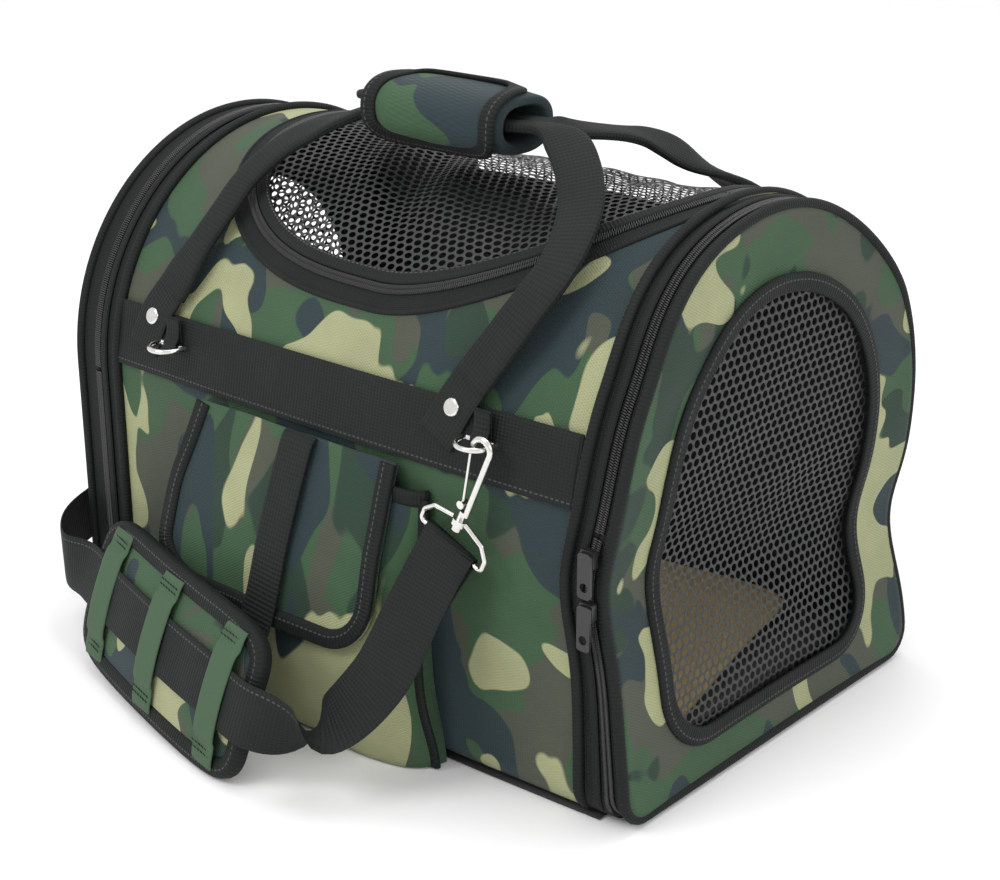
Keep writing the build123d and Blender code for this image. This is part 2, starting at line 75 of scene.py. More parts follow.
def smoothstep(edge0, edge1, value):
    t = np.clip((value - edge0) / (edge1 - edge0), 0, 1)
    return t * t * (3 - 2 * t)


def bow(x, lift=0.0):
    """Half width of the bag at x: a shallow circular arc in plan, moved out by lift."""
    return MID_HALF - BOW_R + np.sqrt((BOW_R + lift)**2 - np.asarray(x)**2)


def slump(points):
    """Soft give of the near end: it leans out at the floor, dips in at a waist that is higher on
    the -Y side and falls back at the crown; each is a bell or step in z that fades along x."""
    z = points[..., 2]
    waist = 0.106 - 0.16 * points[..., 1]
    kick = 0.007 * smoothstep(0.17, 0.205, points[..., 0])
    lean = kick * np.exp(-(z / 0.05)**2) - 0.010 * np.exp(-((z - waist) / 0.036)**2)
    lean = lean - 0.009 * smoothstep(0.225, 0.29, z)
    fade = smoothstep(0.09, 0.20, points[..., 0])
    moved = points.copy()
    moved[..., 0] += lean * fade
    return moved


def ripple(points, size, height):
    """Sum of three skewed sine waves, for cloth that never lies quite flat."""
    x, y, z = (points[..., i] / size for i in range(3))
    wave = np.sin(2.1 * x + 1.3 * z + 0.7) * np.sin(1.7 * z - 0.9 * y)
    wave = wave + 0.6 * np.sin(3.7 * x - 2.2 * z + 1.9 * y) + 0.4 * np.sin(5.3 * z + 2.9 * x + 0.4)
    return height * wave / 2


def tunnel(x, turn, lift=0.0):
    """Point on the arch at station x; turn runs 0 at the -Y edge to pi at the +Y edge."""
    reach = bow(x, lift)
    return np.stack([x + 0 * turn, -reach * np.cos(turn), ARCH_Z + reach * np.sin(turn)], -1)


def wall(x, rise, side, lift=0.0):
    """Point on the upright wall: the half width, drawn in round the lower corner's radius."""
    low = np.clip(CORNER_R - rise, 0, CORNER_R)
    tuck = CORNER_R - np.sqrt(CORNER_R**2 - low**2)
    return np.stack([x + 0 * rise, side * (bow(x, lift) - tuck), rise + 0 * x], -1)


def section(x, s, lift=0.0):
    """Point of the bag's skin; s is the girth from the -Y floor edge, in metres, up the wall,
    round the half circle and down the other wall."""
    radius = MID_HALF
    arc = math.pi * radius
    up = wall(x, np.clip(s, 0, ARCH_Z), -1, lift)
    down = wall(x, np.clip(2 * ARCH_Z + arc - s, 0, ARCH_Z), 1, lift)
    over = tunnel(x, np.clip((s - ARCH_Z) / radius, 0, math.pi), lift)
    s = (s + 0 * x)[..., None]
    return np.where(s < ARCH_Z, up, np.where(s > ARCH_Z + arc, down, over))


GIRTH = 2 * ARCH_Z + math.pi * MID_HALF


def arch_outline(half, low, corner, count, spring=ARCH_Z):
    """Closed door outline in y, z: up the -Y side, half circle, down, and along the floor with
    rounded corners, sampled evenly along its length."""
    turn = np.linspace(0, math.pi, 60)
    arc = np.stack([-half * np.cos(turn), spring + half * np.sin(turn)], -1)
    quarter = np.linspace(0, math.pi / 2, 12)
    right = np.stack([half - corner + corner * np.cos(quarter),
                      low + corner - corner * np.sin(quarter)], -1)
    left = np.stack([-half + corner - corner * np.sin(quarter),
                     low + corner - corner * np.cos(quarter)], -1)
    loop = np.concatenate([arc, right, left, arc[:1]])
    run = np.concatenate([[0], np.cumsum(np.linalg.norm(np.diff(loop, axis=0), axis=1))])
    even = np.linspace(0, run[-1], count, endpoint=False)
    return np.stack([np.interp(even, run, loop[:, i]) for i in range(2)], -1)


def flap_power(x, y):
    """Squareness of the top flap's outline: round at the near -Y corner, square at the hinge."""
    return np.where(y < 0, np.where(x > 0, 1.8, 3.0), 12.0)


def flap_outline(grow, count):
    """Closed top-flap outline in station and girth from the crown: a superellipse in plan, wrapped
    onto the arch and moved out by grow at right angles to itself."""
    a = np.linspace(0, 2 * math.pi, count, endpoint=False)
    power = flap_power(np.cos(a), np.sin(a))
    half_x = (FLAP_X1 - FLAP_X0) / 2
    reach = (np.abs(np.cos(a) / half_x)**power + np.abs(np.sin(a) / FLAP_HALF)**power)**(-1 / power)
    x = (FLAP_X0 + FLAP_X1) / 2 + reach * np.cos(a)
    girth = MID_HALF * np.arcsin(reach * np.sin(a) / bow(x))
    loop = np.stack([x, girth], -1)
    step = np.roll(loop, -1, 0) - np.roll(loop, 1, 0)
    step /= np.linalg.norm(step, axis=1, keepdims=True)
    return loop + grow * np.stack([step[:, 1], -step[:, 0]], -1)


def on_arch(loop, lift=0.0):
    """Puts station and girth pairs onto the arch."""
    return tunnel(loop[..., 0], math.pi / 2 + loop[..., 1] / MID_HALF, lift)


# --- mesh helpers -------------------------------------------------------------
def add_object(name, verts, faces, loop_uv):
    """New mesh object from vertices, a list of equal-sided face arrays and one UV per corner."""
    mesh = bpy.data.meshes.new(name)
    corners = np.concatenate([f.ravel() for f in faces]).astype(np.int32)
    sides = np.concatenate([np.full(len(f), f.shape[1]) for f in faces]).astype(np.int32)
    mesh.vertices.add(len(verts))
    mesh.vertices.foreach_set("co", np.ascontiguousarray(verts, dtype=np.float32).ravel())
    mesh.loops.add(len(corners))
    mesh.loops.foreach_set("vertex_index", corners)
    mesh.polygons.add(len(sides))
    mesh.polygons.foreach_set("loop_start", np.concatenate([[0], np.cumsum(sides)[:-1]]).astype(np.int32))
    mesh.polygons.foreach_set("use_smooth", np.ones(len(sides), bool))
    layer = mesh.uv_layers.new(name="UVMap")
    layer.data.foreach_set("uv", np.ascontiguousarray(loop_uv, dtype=np.float32).ravel())
    mesh.update()
    mesh.validate()
    obj = bpy.data.objects.new(name, mesh)
    bpy.context.scene.collection.objects.link(obj)
    return obj


def grid_faces(nu, nv, wrap_u, wrap_v, uv):
    """Quads of a two-parameter grid, with a UV at each corner that runs on past a wrapped seam."""
    i, j = np.meshgrid(np.arange(nu - (not wrap_u)), np.arange(nv - (not wrap_v)), indexing="ij")
    corners = ((0, 0), (1, 0), (1, 1), (0, 1))
    quads = np.stack([((i + a) % nu) * nv + (j + b) % nv for a, b in corners], -1).reshape(-1, 4)
    loop_uv = np.stack([uv[i + a, j + b] for a, b in corners], 2).reshape(-1, 2)
    return quads, loop_uv


def recalculate(obj):
    """Turns the faces of a closed mesh outwards."""
    work = bmesh.new()
    work.from_mesh(obj.data)
    bmesh.ops.remove_doubles(work, verts=work.verts, dist=1e-7)
    bmesh.ops.recalc_face_normals(work, faces=work.faces)
    work.to_mesh(obj.data)
    work.free()
    obj.data.update()


def sheet(name, points, uv, wrap_u=False, thick=0.0, away=BAG_MIDDLE):
    """Open sheet on a grid of points, faced away from a middle point; thick gives it a back."""
    nu, nv = points.shape[:2]
    quads, loop_uv = grid_faces(nu, nv, wrap_u, False, uv)
    verts = points.reshape(-1, 3)
    a, b, c = (verts[quads[:, k]] for k in range(3))
    normal = np.cross(b - a, c - a)
    if np.sum(normal * (a - away)) < 0:
        quads = quads[:, ::-1]
        loop_uv = loop_uv.reshape(-1, 4, 2)[:, ::-1].reshape(-1, 2)
    obj = add_object(name, verts, [quads], loop_uv)
    if thick:
        shell = obj.modifiers.new("thickness", "SOLIDIFY")
        shell.thickness = thick
        shell.offset = -1
        shell.use_even_offset = False
        shell.material_offset = 1
    return obj


def lens(width, thick, count=20, flat=0.35):
    """Flat webbing section: a superellipse, wide across and thin through."""
    a = np.linspace(0, 2 * math.pi, count, endpoint=False)
    x = width / 2 * signed_power(np.cos(a), flat)
    y = thick / 2 * signed_power(np.sin(a), 0.7)
    return np.stack([x, y], -1)


def tube(radius, count=12):
    a = np.linspace(0, 2 * math.pi, count, endpoint=False)
    return radius * np.stack([np.cos(a), np.sin(a)], -1)


def smooth_path(points, count):
    """Catmull-Rom curve through points: each span is a cubic set by its four nearest points."""
    p = np.asarray(points, float)
    p = np.concatenate([2 * p[:1] - p[1:2], p, 2 * p[-1:] - p[-2:-1]])
    u = np.linspace(0, len(p) - 3, count)
    k = np.minimum(u.astype(int), len(p) - 4)
    t = (u - k)[:, None]
    a, b, c, d = p[k], p[k + 1], p[k + 2], p[k + 3]
    return 0.5 * (2 * b + (c - a) * t + (2 * a - 5 * b + 4 * c - d) * t**2 + (3 * b - a - 3 * c + d) * t**3)


def sweep(name, path, up, profile, closed=False, swell=None):
    """Carries a profile along a path; its x lies across the path and its y along the up direction.
    Closed paths join up, open ones get flat caps fanned from the path's end points."""
    path = np.asarray(path, float)
    if closed:
        along = np.roll(path, -1, 0) - np.roll(path, 1, 0)
    else:
        along = np.gradient(path, axis=0)
    along /= np.linalg.norm(along, axis=1, keepdims=True)
    up = np.broadcast_to(np.asarray(up, float), path.shape)
    across = np.cross(along, up)
    across /= np.linalg.norm(across, axis=1, keepdims=True)
    out = np.cross(across, along)
    scale = np.ones(len(path)) if swell is None else swell
    points = (path[:, None] + across[:, None] * (profile[None, :, :1] * scale[:, None, None])
              + out[:, None] * profile[None, :, 1:])
    step = np.linalg.norm(np.diff(np.concatenate([path, path[:1]]), axis=0), axis=1)
    run = np.concatenate([[0], np.cumsum(step)])[:len(path) + closed]
    edge = np.linalg.norm(np.diff(np.concatenate([profile, profile[:1]]), axis=0), axis=1)
    round_run = np.concatenate([[0], np.cumsum(edge)])
    uv = np.stack(np.meshgrid(run, round_run, indexing="ij"), -1)
    nu, nv = points.shape[:2]
    quads, loop_uv = grid_faces(nu, nv, closed, True, uv)
    verts = points.reshape(-1, 3)
    faces, uvs = [quads], [loop_uv]
    if not closed:
        verts = np.concatenate([verts, path[:1], path[-1:]])
        ring = np.arange(nv)
        for first, middle in ((0, nu * nv), ((nu - 1) * nv, nu * nv + 1)):
            cap = np.stack([first + ring, first + (ring + 1) % nv, np.full(nv, middle)], -1)
            faces.append(cap)
            uvs.append(np.zeros((nv * 3, 2)) + (run[-1 if first else 0], 0))
    obj = add_object(name, verts, faces, np.concatenate(uvs))
    recalculate(obj)
    return obj


def honeycomb(name, low, high, inside, place, pitch, open_share=0.77):
    """Knitted net: staggered six-sided cells over a plan rectangle, each a ring between its border
    and a rounded hole; inside keeps whole cells and place puts plan points on the surface."""
    step_x, step_y = pitch, pitch * 0.82
    cols = np.arange(int((high[0] - low[0]) / step_x) + 2)
    rows = np.arange(int((high[1] - low[1]) / step_y) + 2)
    row, col = np.meshgrid(rows, cols, indexing="ij")
    centre = np.stack([low[0] + (col + 0.5 * (row % 2)) * step_x, low[1] + row * step_y], -1).reshape(-1, 2)
    centre = centre[inside(centre)]
    a = np.arange(6) * math.pi / 3 + math.pi / 6
    corner = np.stack([np.cos(a) * step_x / math.sqrt(3), np.sin(a) * step_y * 2 / 3], -1)
    middle = (corner + np.roll(corner, -1, 0)) / 2
    border = np.stack([corner, middle], 1).reshape(12, 2)
    b = np.arange(12) * math.pi / 6 + math.pi / 6
    hole = open_share * np.stack([np.cos(b) * step_x / 2, np.sin(b) * step_y * 0.56], -1)
    rim = place(centre[:, None] + border[None])
    inner = place(centre[:, None] + hole[None])
    sink = 0.00035 * (rim.mean((0, 1)) - BAG_MIDDLE) / np.linalg.norm(rim.mean((0, 1)) - BAG_MIDDLE)
    inner = inner - sink
    verts = np.concatenate([rim.reshape(-1, 3), inner.reshape(-1, 3)])
    plan = np.concatenate([(centre[:, None] + border[None]).reshape(-1, 2),
                           (centre[:, None] + hole[None]).reshape(-1, 2)])
    n = len(centre)
    first = np.arange(n)[:, None] * 12 + np.arange(12)[None]
    after = np.arange(n)[:, None] * 12 + (np.arange(12)[None] + 1) % 12
    quads = np.stack([first, after, n * 12 + after, n * 12 + first], -1).reshape(-1, 4)
    kept, back = np.unique(np.round(verts, 6), axis=0, return_inverse=True)
    loop_uv = plan[quads].reshape(-1, 2)
    quads = back.reshape(-1)[quads]
    p, q, r = (kept[quads[:, k]] for k in range(3))
    if np.sum(np.cross(q - p, r - p) * (p - BAG_MIDDLE)) < 0:
        quads = quads[:, ::-1]
        loop_uv = loop_uv.reshape(-1, 4, 2)[:, ::-1].reshape(-1, 2)
    return add_object(name, kept, [quads], loop_uv)


def coil_row(name, path, across, out, pitch, size):
    """Zip coil: one bead per pitch along a path, a six-sided lozenge lying across the coil and
    leaning along it."""
    path = np.asarray(path)
    run = np.concatenate([[0], np.cumsum(np.linalg.norm(np.diff(path, axis=0), axis=1))])
    spots = np.arange(0, run[-1], pitch)
    centre, side, lift = (np.stack([np.interp(spots, run, v[:, i]) for i in range(3)], -1)
                          for v in (path, across, out))
    along = np.cross(side, lift)
    a = np.arange(6) * math.pi / 3
    ends = np.array([-1.0, -0.72, 0.72, 1.0])
    fat = np.array([0.45, 1.0, 1.0, 0.45])
    u = ends[:, None] * size[0] + 0 * a
    v = fat[:, None] * np.cos(a) * size[1] + ends[:, None] * size[1] * 0.8
    w = fat[:, None] * np.sin(a) * size[2]
    points = (centre[:, None, None] + side[:, None, None] * u[None, ..., None]
              + along[:, None, None] * v[None, ..., None] + lift[:, None, None] * w[None, ..., None])
    n = len(centre)
    i, j = np.meshgrid(np.arange(3), np.arange(6), indexing="ij")
    bead = np.stack([i * 6 + j, i * 6 + (j + 1) % 6, (i + 1) * 6 + (j + 1) % 6, (i + 1) * 6 + j], -1)
    bead = bead.reshape(-1, 4)
    start = (np.arange(n) * 24)[:, None, None]
    quads = (start + bead[None]).reshape(-1, 4)
    caps = (start + np.array([[5, 4, 3, 2, 1, 0], [18, 19, 20, 21, 22, 23]])[None]).reshape(-1, 6)
    corners = len(quads) * 4 + len(caps) * 6
    obj = add_object(name, points.reshape(-1, 3), [quads, caps], np.zeros((corners, 2)))
    recalculate(obj)
    return obj


def finish_piece(obj, material, body="root", stands_for=()):
    """Gives a piece its material, the body it rides on and the nodes it replaces."""
    obj.data.materials.append(material)
    if "thickness" in obj.modifiers:
        obj.data.materials.append(MATERIALS["lining"])
    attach(obj, body)
    if stands_for:
        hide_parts(*stands_for)
    return obj


# --- shader groups ------------------------------------------------------------
def new_group(name, inputs, outputs):
    """Empty shader group with float or vector sockets; returns it with its two end nodes."""
    group = bpy.data.node_groups.new(name, "ShaderNodeTree")
    for label, kind, value in inputs:
        socket = group.interface.new_socket(label, in_out="INPUT", socket_type=kind)
        if value is not None:
            socket.default_value = value
    for label, kind in outputs:
        group.interface.new_socket(label, in_out="OUTPUT", socket_type=kind)
    return group, group.nodes.new("NodeGroupInput"), group.nodes.new("NodeGroupOutput")


def math_node(tree, operation, *values):
    """Math node whose inputs are sockets or numbers; returns its output socket."""
    node = tree.nodes.new("ShaderNodeMath")
    node.operation = operation
    for slot, value in zip(node.inputs, values):
        if isinstance(value, (int, float)):
            slot.default_value = value
        else:
            tree.links.new(value, slot)
    return node.outputs[0]


def sine_of(tree, value, period):
    """Sine wave of a length socket, 0 to 1, with the given period in metres."""
    wave = math_node(tree, "SINE", math_node(tree, "MULTIPLY", value, 2 * math.pi / period))
    return math_node(tree, "MULTIPLY_ADD", wave, 0.5, 0.5)


def make_weave_group():
    """Woven cloth: two crossed sine waves a pitch apart, broken up by fine noise."""
    group, inputs, outputs = new_group("cloth_weave", [("Vector", "NodeSocketVector", None),
                                                       ("Pitch", "NodeSocketFloat", 0.001),
                                                       ("Diagonal", "NodeSocketFloat", 0.0)],
                                       [("Height", "NodeSocketFloat"), ("Tone", "NodeSocketFloat")])
    split = group.nodes.new("ShaderNodeSeparateXYZ")
    group.links.new(inputs.outputs["Vector"], split.inputs[0])
    lean = math_node(group, "MULTIPLY", split.outputs[0], inputs.outputs["Diagonal"])
    turns = math_node(group, "DIVIDE", 2 * math.pi, inputs.outputs["Pitch"])
    first = math_node(group, "SINE", math_node(group, "MULTIPLY",
                                               math_node(group, "ADD", split.outputs[1], lean), turns))
    second = math_node(group, "SINE", math_node(group, "MULTIPLY", split.outputs[0], turns))
    product = math_node(group, "MULTIPLY", first, second)
    total = math_node(group, "ADD", math_node(group, "MULTIPLY", product, 0.35),
                      math_node(group, "MULTIPLY", first, 0.3))
    noise = group.nodes.new("ShaderNodeTexNoise")
    noise.inputs["Scale"].default_value = 900
    noise.inputs["Detail"].default_value = 3
    group.links.new(inputs.outputs["Vector"], noise.inputs["Vector"])
    height = math_node(group, "MULTIPLY_ADD", noise.outputs[0], 0.5, total)
    group.links.new(height, outputs.inputs["Height"])
    group.links.new(math_node(group, "MULTIPLY_ADD", height, 0.22, 0.85), outputs.inputs["Tone"])
    return group


def make_patch_group():
    """Soft-edged blotches: warped noise cut at a level, with a hard but not jagged edge."""
    group, inputs, outputs = new_group("blotch", [("Vector", "NodeSocketVector", None),
                                                  ("Scale", "NodeSocketFloat", 16.0),
                                                  ("Level", "NodeSocketFloat", 0.55),
                                                  ("Seed", "NodeSocketFloat", 0.0)],
                                       [("Mask", "NodeSocketFloat")])
    noise = group.nodes.new("ShaderNodeTexNoise")
    noise.noise_dimensions = "4D"
    noise.inputs["Detail"].default_value = 1.4
    noise.inputs["Roughness"].default_value = 0.42
    noise.inputs["Distortion"].default_value = 0.55
    for label, socket in (("Vector", "Vector"), ("Scale", "Scale"), ("Seed", "W")):
        group.links.new(inputs.outputs[label], noise.inputs[socket])
    over = math_node(group, "SUBTRACT", noise.outputs[0], inputs.outputs["Level"])
    sharp = math_node(group, "MULTIPLY_ADD", over, 130, 0.5)
    clamp = group.nodes.new("ShaderNodeClamp")
    group.links.new(sharp, clamp.inputs[0])
    group.links.new(clamp.outputs[0], outputs.inputs["Mask"])
    return group


def make_dust_group():
    """Faint handling marks: broad noise that lifts roughness and lightens the colour a little."""
    group, inputs, outputs = new_group("handling", [("Vector", "NodeSocketVector", None)],
                                       [("Light", "NodeSocketFloat"), ("Rough", "NodeSocketFloat")])
    noise = group.nodes.new("ShaderNodeTexNoise")
    noise.inputs["Scale"].default_value = 28
    noise.inputs["Detail"].default_value = 6
    group.links.new(inputs.outputs["Vector"], noise.inputs["Vector"])
    group.links.new(math_node(group, "MULTIPLY_ADD", noise.outputs[0], 0.5, 0.75), outputs.inputs["Light"])
    group.links.new(math_node(group, "MULTIPLY_ADD", noise.outputs[0], 0.25, 0.62), outputs.inputs["Rough"])
    return group


# --- materials ----------------------------------------------------------------
CAMO = {"green": (0.038, 0.088, 0.040), "navy": (0.016, 0.033, 0.038), "olive": (0.062, 0.070, 0.048),
        "deep": (0.016, 0.040, 0.025), "khaki": (0.335, 0.350, 0.190)}


def start_material(name, roughness, vector="Object"):
    """Material with its Principled node, a coordinate socket and a free slot for bump."""
    material = bpy.data.materials.new(name)
    material.use_nodes = True
    tree = material.node_tree
    shader = tree.nodes["Principled BSDF"]
    shader.inputs["Roughness"].default_value = roughness
    coords = tree.nodes.new("ShaderNodeTexCoord")
    return material, tree, shader, coords.outputs[vector]


def place_group(tree, name, vector, **values):
    node = tree.nodes.new("ShaderNodeGroup")
    node.node_tree = bpy.data.node_groups[name]
    tree.links.new(vector, node.inputs["Vector"])
    for label, value in values.items():
        node.inputs[label].default_value = value
    return node


def mix_colour(tree, factor, first, second, kind="MIX"):
    node = tree.nodes.new("ShaderNodeMix")
    node.data_type = "RGBA"
    node.blend_type = kind
    for socket, value in ((node.inputs[0], factor), (node.inputs[6], first), (node.inputs[7], second)):
        if hasattr(value, "is_output"):
            tree.links.new(value, socket)
        else:
            socket.default_value = value if isinstance(value, float) else (*value, 1)
    return node.outputs[2]


def add_bump(tree, shader, height, distance, strength=0.6):
    bump = tree.nodes.new("ShaderNodeBump")
    bump.inputs["Strength"].default_value = strength
    bump.inputs["Distance"].default_value = distance
    tree.links.new(height, bump.inputs["Height"])
    tree.links.new(bump.outputs[0], shader.inputs["Normal"])


def camouflage(name, stretch=(1.0, 1.0, 1.0), seed=0.0, size=11.0, khaki_level=0.575):
    """Printed camouflage on twill: four blotch masks painted over green, then the weave."""
    material, tree, shader, vector = start_material(name, 0.72)
    place = tree.nodes.new("ShaderNodeMapping")
    place.inputs["Scale"].default_value = stretch
    tree.links.new(vector, place.inputs["Vector"])
    colour = CAMO["green"]
    layers = (("olive", 0.535, 1.3, 1.0), ("deep", 0.60, 4.1, 0.9), ("navy", 0.545, 7.7, 1.0),
              ("khaki", khaki_level, 11.9, 1.0))
    for label, level, shift, grow in layers:
        mask = place_group(tree, "blotch", place.outputs[0],
                           Scale=size * grow, Level=level, Seed=seed + shift)
        colour = mix_colour(tree, mask.outputs["Mask"], colour, CAMO[label])
    weave = place_group(tree, "cloth_weave", tree.nodes["Texture Coordinate"].outputs["UV"],
                        Pitch=0.0016, Diagonal=0.6)
    dust = place_group(tree, "handling", vector)
    tone = math_node(tree, "MULTIPLY", weave.outputs["Tone"], dust.outputs["Light"])
    shade = tree.nodes.new("ShaderNodeCombineColor")
    for socket in shade.inputs:
        tree.links.new(tone, socket)
    tree.links.new(mix_colour(tree, 1.0, colour, shade.outputs[0], "MULTIPLY"), shader.inputs["Base Color"])
    tree.links.new(dust.outputs["Rough"], shader.inputs["Roughness"])
    shader.inputs["Sheen Weight"].default_value = 0.06
    shader.inputs["Specular IOR Level"].default_value = 0.3
    add_bump(tree, shader, weave.outputs["Height"], 0.0004)
    return material


def black_cloth(name, pitch, across, base, roughness=0.62, stitch=0.0, vector="UV"):
    """Black webbing, tape or binding: ribs along and threads across, with an optional stitch line."""
    material, tree, shader, place = start_material(name, roughness, vector)
    split = tree.nodes.new("ShaderNodeSeparateXYZ")
    tree.links.new(place, split.inputs[0])
    rib = sine_of(tree, split.outputs[0], pitch)
    thread = sine_of(tree, split.outputs[1], across)
    height = math_node(tree, "MULTIPLY_ADD", rib, 0.6, math_node(tree, "MULTIPLY", thread, 0.5))
    dust = place_group(tree, "handling", tree.nodes["Texture Coordinate"].outputs["Object"])
    tone = math_node(tree, "MULTIPLY", math_node(tree, "MULTIPLY_ADD", height, 0.9, 0.45),
                     dust.outputs["Light"])
    colour = mix_colour(tree, tone, (0.0, 0.0, 0.0), base)
    if stitch:
        dash = math_node(tree, "GREATER_THAN", sine_of(tree, split.outputs[0], 0.0032), 0.35)
        line = math_node(tree, "LESS_THAN", math_node(tree, "ABSOLUTE", math_node(
            tree, "SUBTRACT", split.outputs[1], stitch)), 0.0004)
        colour = mix_colour(tree, math_node(tree, "MULTIPLY", dash, line), colour, (0.06, 0.06, 0.062))
        height = math_node(tree, "SUBTRACT", height, math_node(tree, "MULTIPLY", line, 1.2))
    tree.links.new(colour, shader.inputs["Base Color"])
    tree.links.new(dust.outputs["Rough"], shader.inputs["Roughness"])
    shader.inputs["Specular IOR Level"].default_value = 0.3
    add_bump(tree, shader, height, 0.0005, 0.8)
    return material


def plain_finish(name, base, roughness, metallic=0.0, grain=0.0002, scale=350, spread=0.25):
    """Moulded, painted or plated finish: fine noise in colour, roughness and bump."""
    material, tree, shader, vector = start_material(name, roughness)
    shader.inputs["Metallic"].default_value = metallic
    noise = tree.nodes.new("ShaderNodeTexNoise")
    noise.inputs["Scale"].default_value = scale
    noise.inputs["Detail"].default_value = 4
    tree.links.new(vector, noise.inputs["Vector"])
    dark = tuple(c * (1 - spread) for c in base)
    tree.links.new(mix_colour(tree, noise.outputs[0], dark, base), shader.inputs["Base Color"])
    tree.links.new(math_node(tree, "MULTIPLY_ADD", noise.outputs[0], roughness * 0.5, roughness * 0.75),
                   shader.inputs["Roughness"])
    add_bump(tree, shader, noise.outputs[0], grain, 0.4)
    return material


MATERIALS = {}


def make_materials():
    make_weave_group()
    make_patch_group()
    make_dust_group()
    settings = bpy.context.scene.carrier_finish
    black = tuple(settings.webbing_colour)
    MATERIALS.update({
        "side": camouflage("camo_side", (1.0, 1.0, 0.72), settings.camo_seed, settings.camo_size),
        "roof": camouflage("camo_roof", (1.1, 0.8, 0.9), settings.camo_seed + 3.1, settings.camo_size),
        "end": camouflage("camo_end", (1.0, 1.0, 1.0), settings.camo_seed + 5.7, settings.camo_size),
        "pocket": camouflage("camo_pocket", (1.25, 1.0, 0.55), settings.camo_seed + 8.3,
                             settings.camo_size * 0.95),
        "small": camouflage("camo_small", (1.0, 1.0, 1.0), settings.camo_seed + 2.2,
                            settings.camo_size * 1.3),
        "grip": camouflage("camo_grip", (1.0, 1.0, 1.0), settings.camo_seed + 13.7, settings.camo_size,
                           0.72),
        "loop": plain_finish("green_cloth", (0.045, 0.098, 0.045), 0.75,
                             grain=0.0006, scale=900, spread=0.35),
        "webbing": black_cloth("black_webbing", 0.0026, 0.0021, black),
        "belt": black_cloth("black_belt", 0.0022, 0.0018, black, stitch=0.0035),
        "binding": black_cloth("black_binding", 0.0021, 0.0060, tuple(c * 0.7 for c in black),
                               stitch=0.0075),
        "tape": black_cloth("black_zip_tape", 0.0012, 0.0012, tuple(c * 0.75 for c in black)),
        "coil": plain_finish("black_coil", (0.016, 0.016, 0.017), 0.32),
        "net": plain_finish("knitted_net", (0.020, 0.024, 0.024), 0.45, scale=900, spread=0.5),
        "black_metal": plain_finish("black_zip_metal", (0.018, 0.018, 0.018), 0.3),
        "nickel": plain_finish("nickel", (0.78, 0.77, 0.74), 0.17, 1.0, grain=0.00005),
        "board": plain_finish("board", (0.09, 0.09, 0.09), 0.6),
        "mat": plain_finish("tan_pile", (0.60, 0.46, 0.24), 0.9, grain=0.002, scale=700, spread=0.45),
        "lining": plain_finish("floor_cloth", (0.012, 0.013, 0.014), 0.7, scale=600),
    })


def finish_node(node, material):
    """Puts a detailed material on a frame node that is shown as it is."""
    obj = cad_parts[node]
    obj.data.materials.clear()
    obj.data.materials.append(MATERIALS[material])


# --- sheets of the bag --------------------------------------------------------
def uv_of(u, v):
    return np.stack(np.meshgrid(u, v, indexing="ij"), -1)


def build_sides():
    """Side panels: the bag's skin from the floor to the belt, with a slow ripple in the cloth."""
    x = np.linspace(FAR_SEAM, NEAR_SEAM, 120)
    s = np.linspace(0.0, ARCH_Z + SEAM_ANGLE * MID_HALF, 60)
    for name, girth, stands_for in (("front_side", s, "front_side_panel"),
                                    ("back_side", GIRTH - s, "back_side_panel")):
        points = section(x[:, None], girth[None])
        points[..., 2] = np.maximum(points[..., 2], 0.0002)
        edge = smoothstep(0, 0.02, s)[None] * smoothstep(FAR_SEAM, FAR_SEAM + 0.03, x)[:, None]
        edge = edge * (1 - smoothstep(0.142, 0.164, points[..., 2]))
        side = np.sign(points[..., 1:2])
        points[..., 1:2] += side * ripple(points, 0.045, 0.0022)[..., None] * edge[..., None]
        obj = sheet(name, slump(points), uv_of(x, s), thick=0.0018)
        finish_piece(obj, MATERIALS["side"], "root", [stands_for])


def build_roof():
    """Roof panel: a ring from the top opening's outline out to the seams, by straight rays in
    station and girth from the opening's middle."""
    count, rings = 320, 22
    inner = flap_outline(0.0105, count)
    middle = np.array([(FLAP_X0 + FLAP_X1) / 2, 0.0])
    ray = inner - middle
    top = (math.pi / 2 - SEAM_ANGLE) * MID_HALF
    room_x = np.where(ray[:, 0] > 0, NEAR_SEAM - middle[0], middle[0] - FAR_SEAM)
    grow = 1 / np.maximum(np.abs(ray[:, 0]) / room_x, np.abs(ray[:, 1]) / top)
    t = np.linspace(0, 1, rings)[None, :, None]
    flat = middle + ray[:, None] * (1 + (grow[:, None, None] - 1) * t)
    points = on_arch(flat)
    fade = np.sin(t[..., 0] * math.pi) * (1 - smoothstep(0.150, 0.170, np.abs(flat[..., 1])))
    outward = (points - [0, 0, ARCH_Z]) * [0, 1, 1]
    outward /= np.linalg.norm(outward, axis=-1, keepdims=True)
    points = points + outward * (ripple(points, 0.04, 0.0018) * fade)[..., None]
    uv = np.concatenate([flat, flat[:1]])
    obj = sheet("roof", slump(points), uv, wrap_u=True, thick=0.0018)
    finish_piece(obj, MATERIALS["roof"], "root", ["roof_panel"])


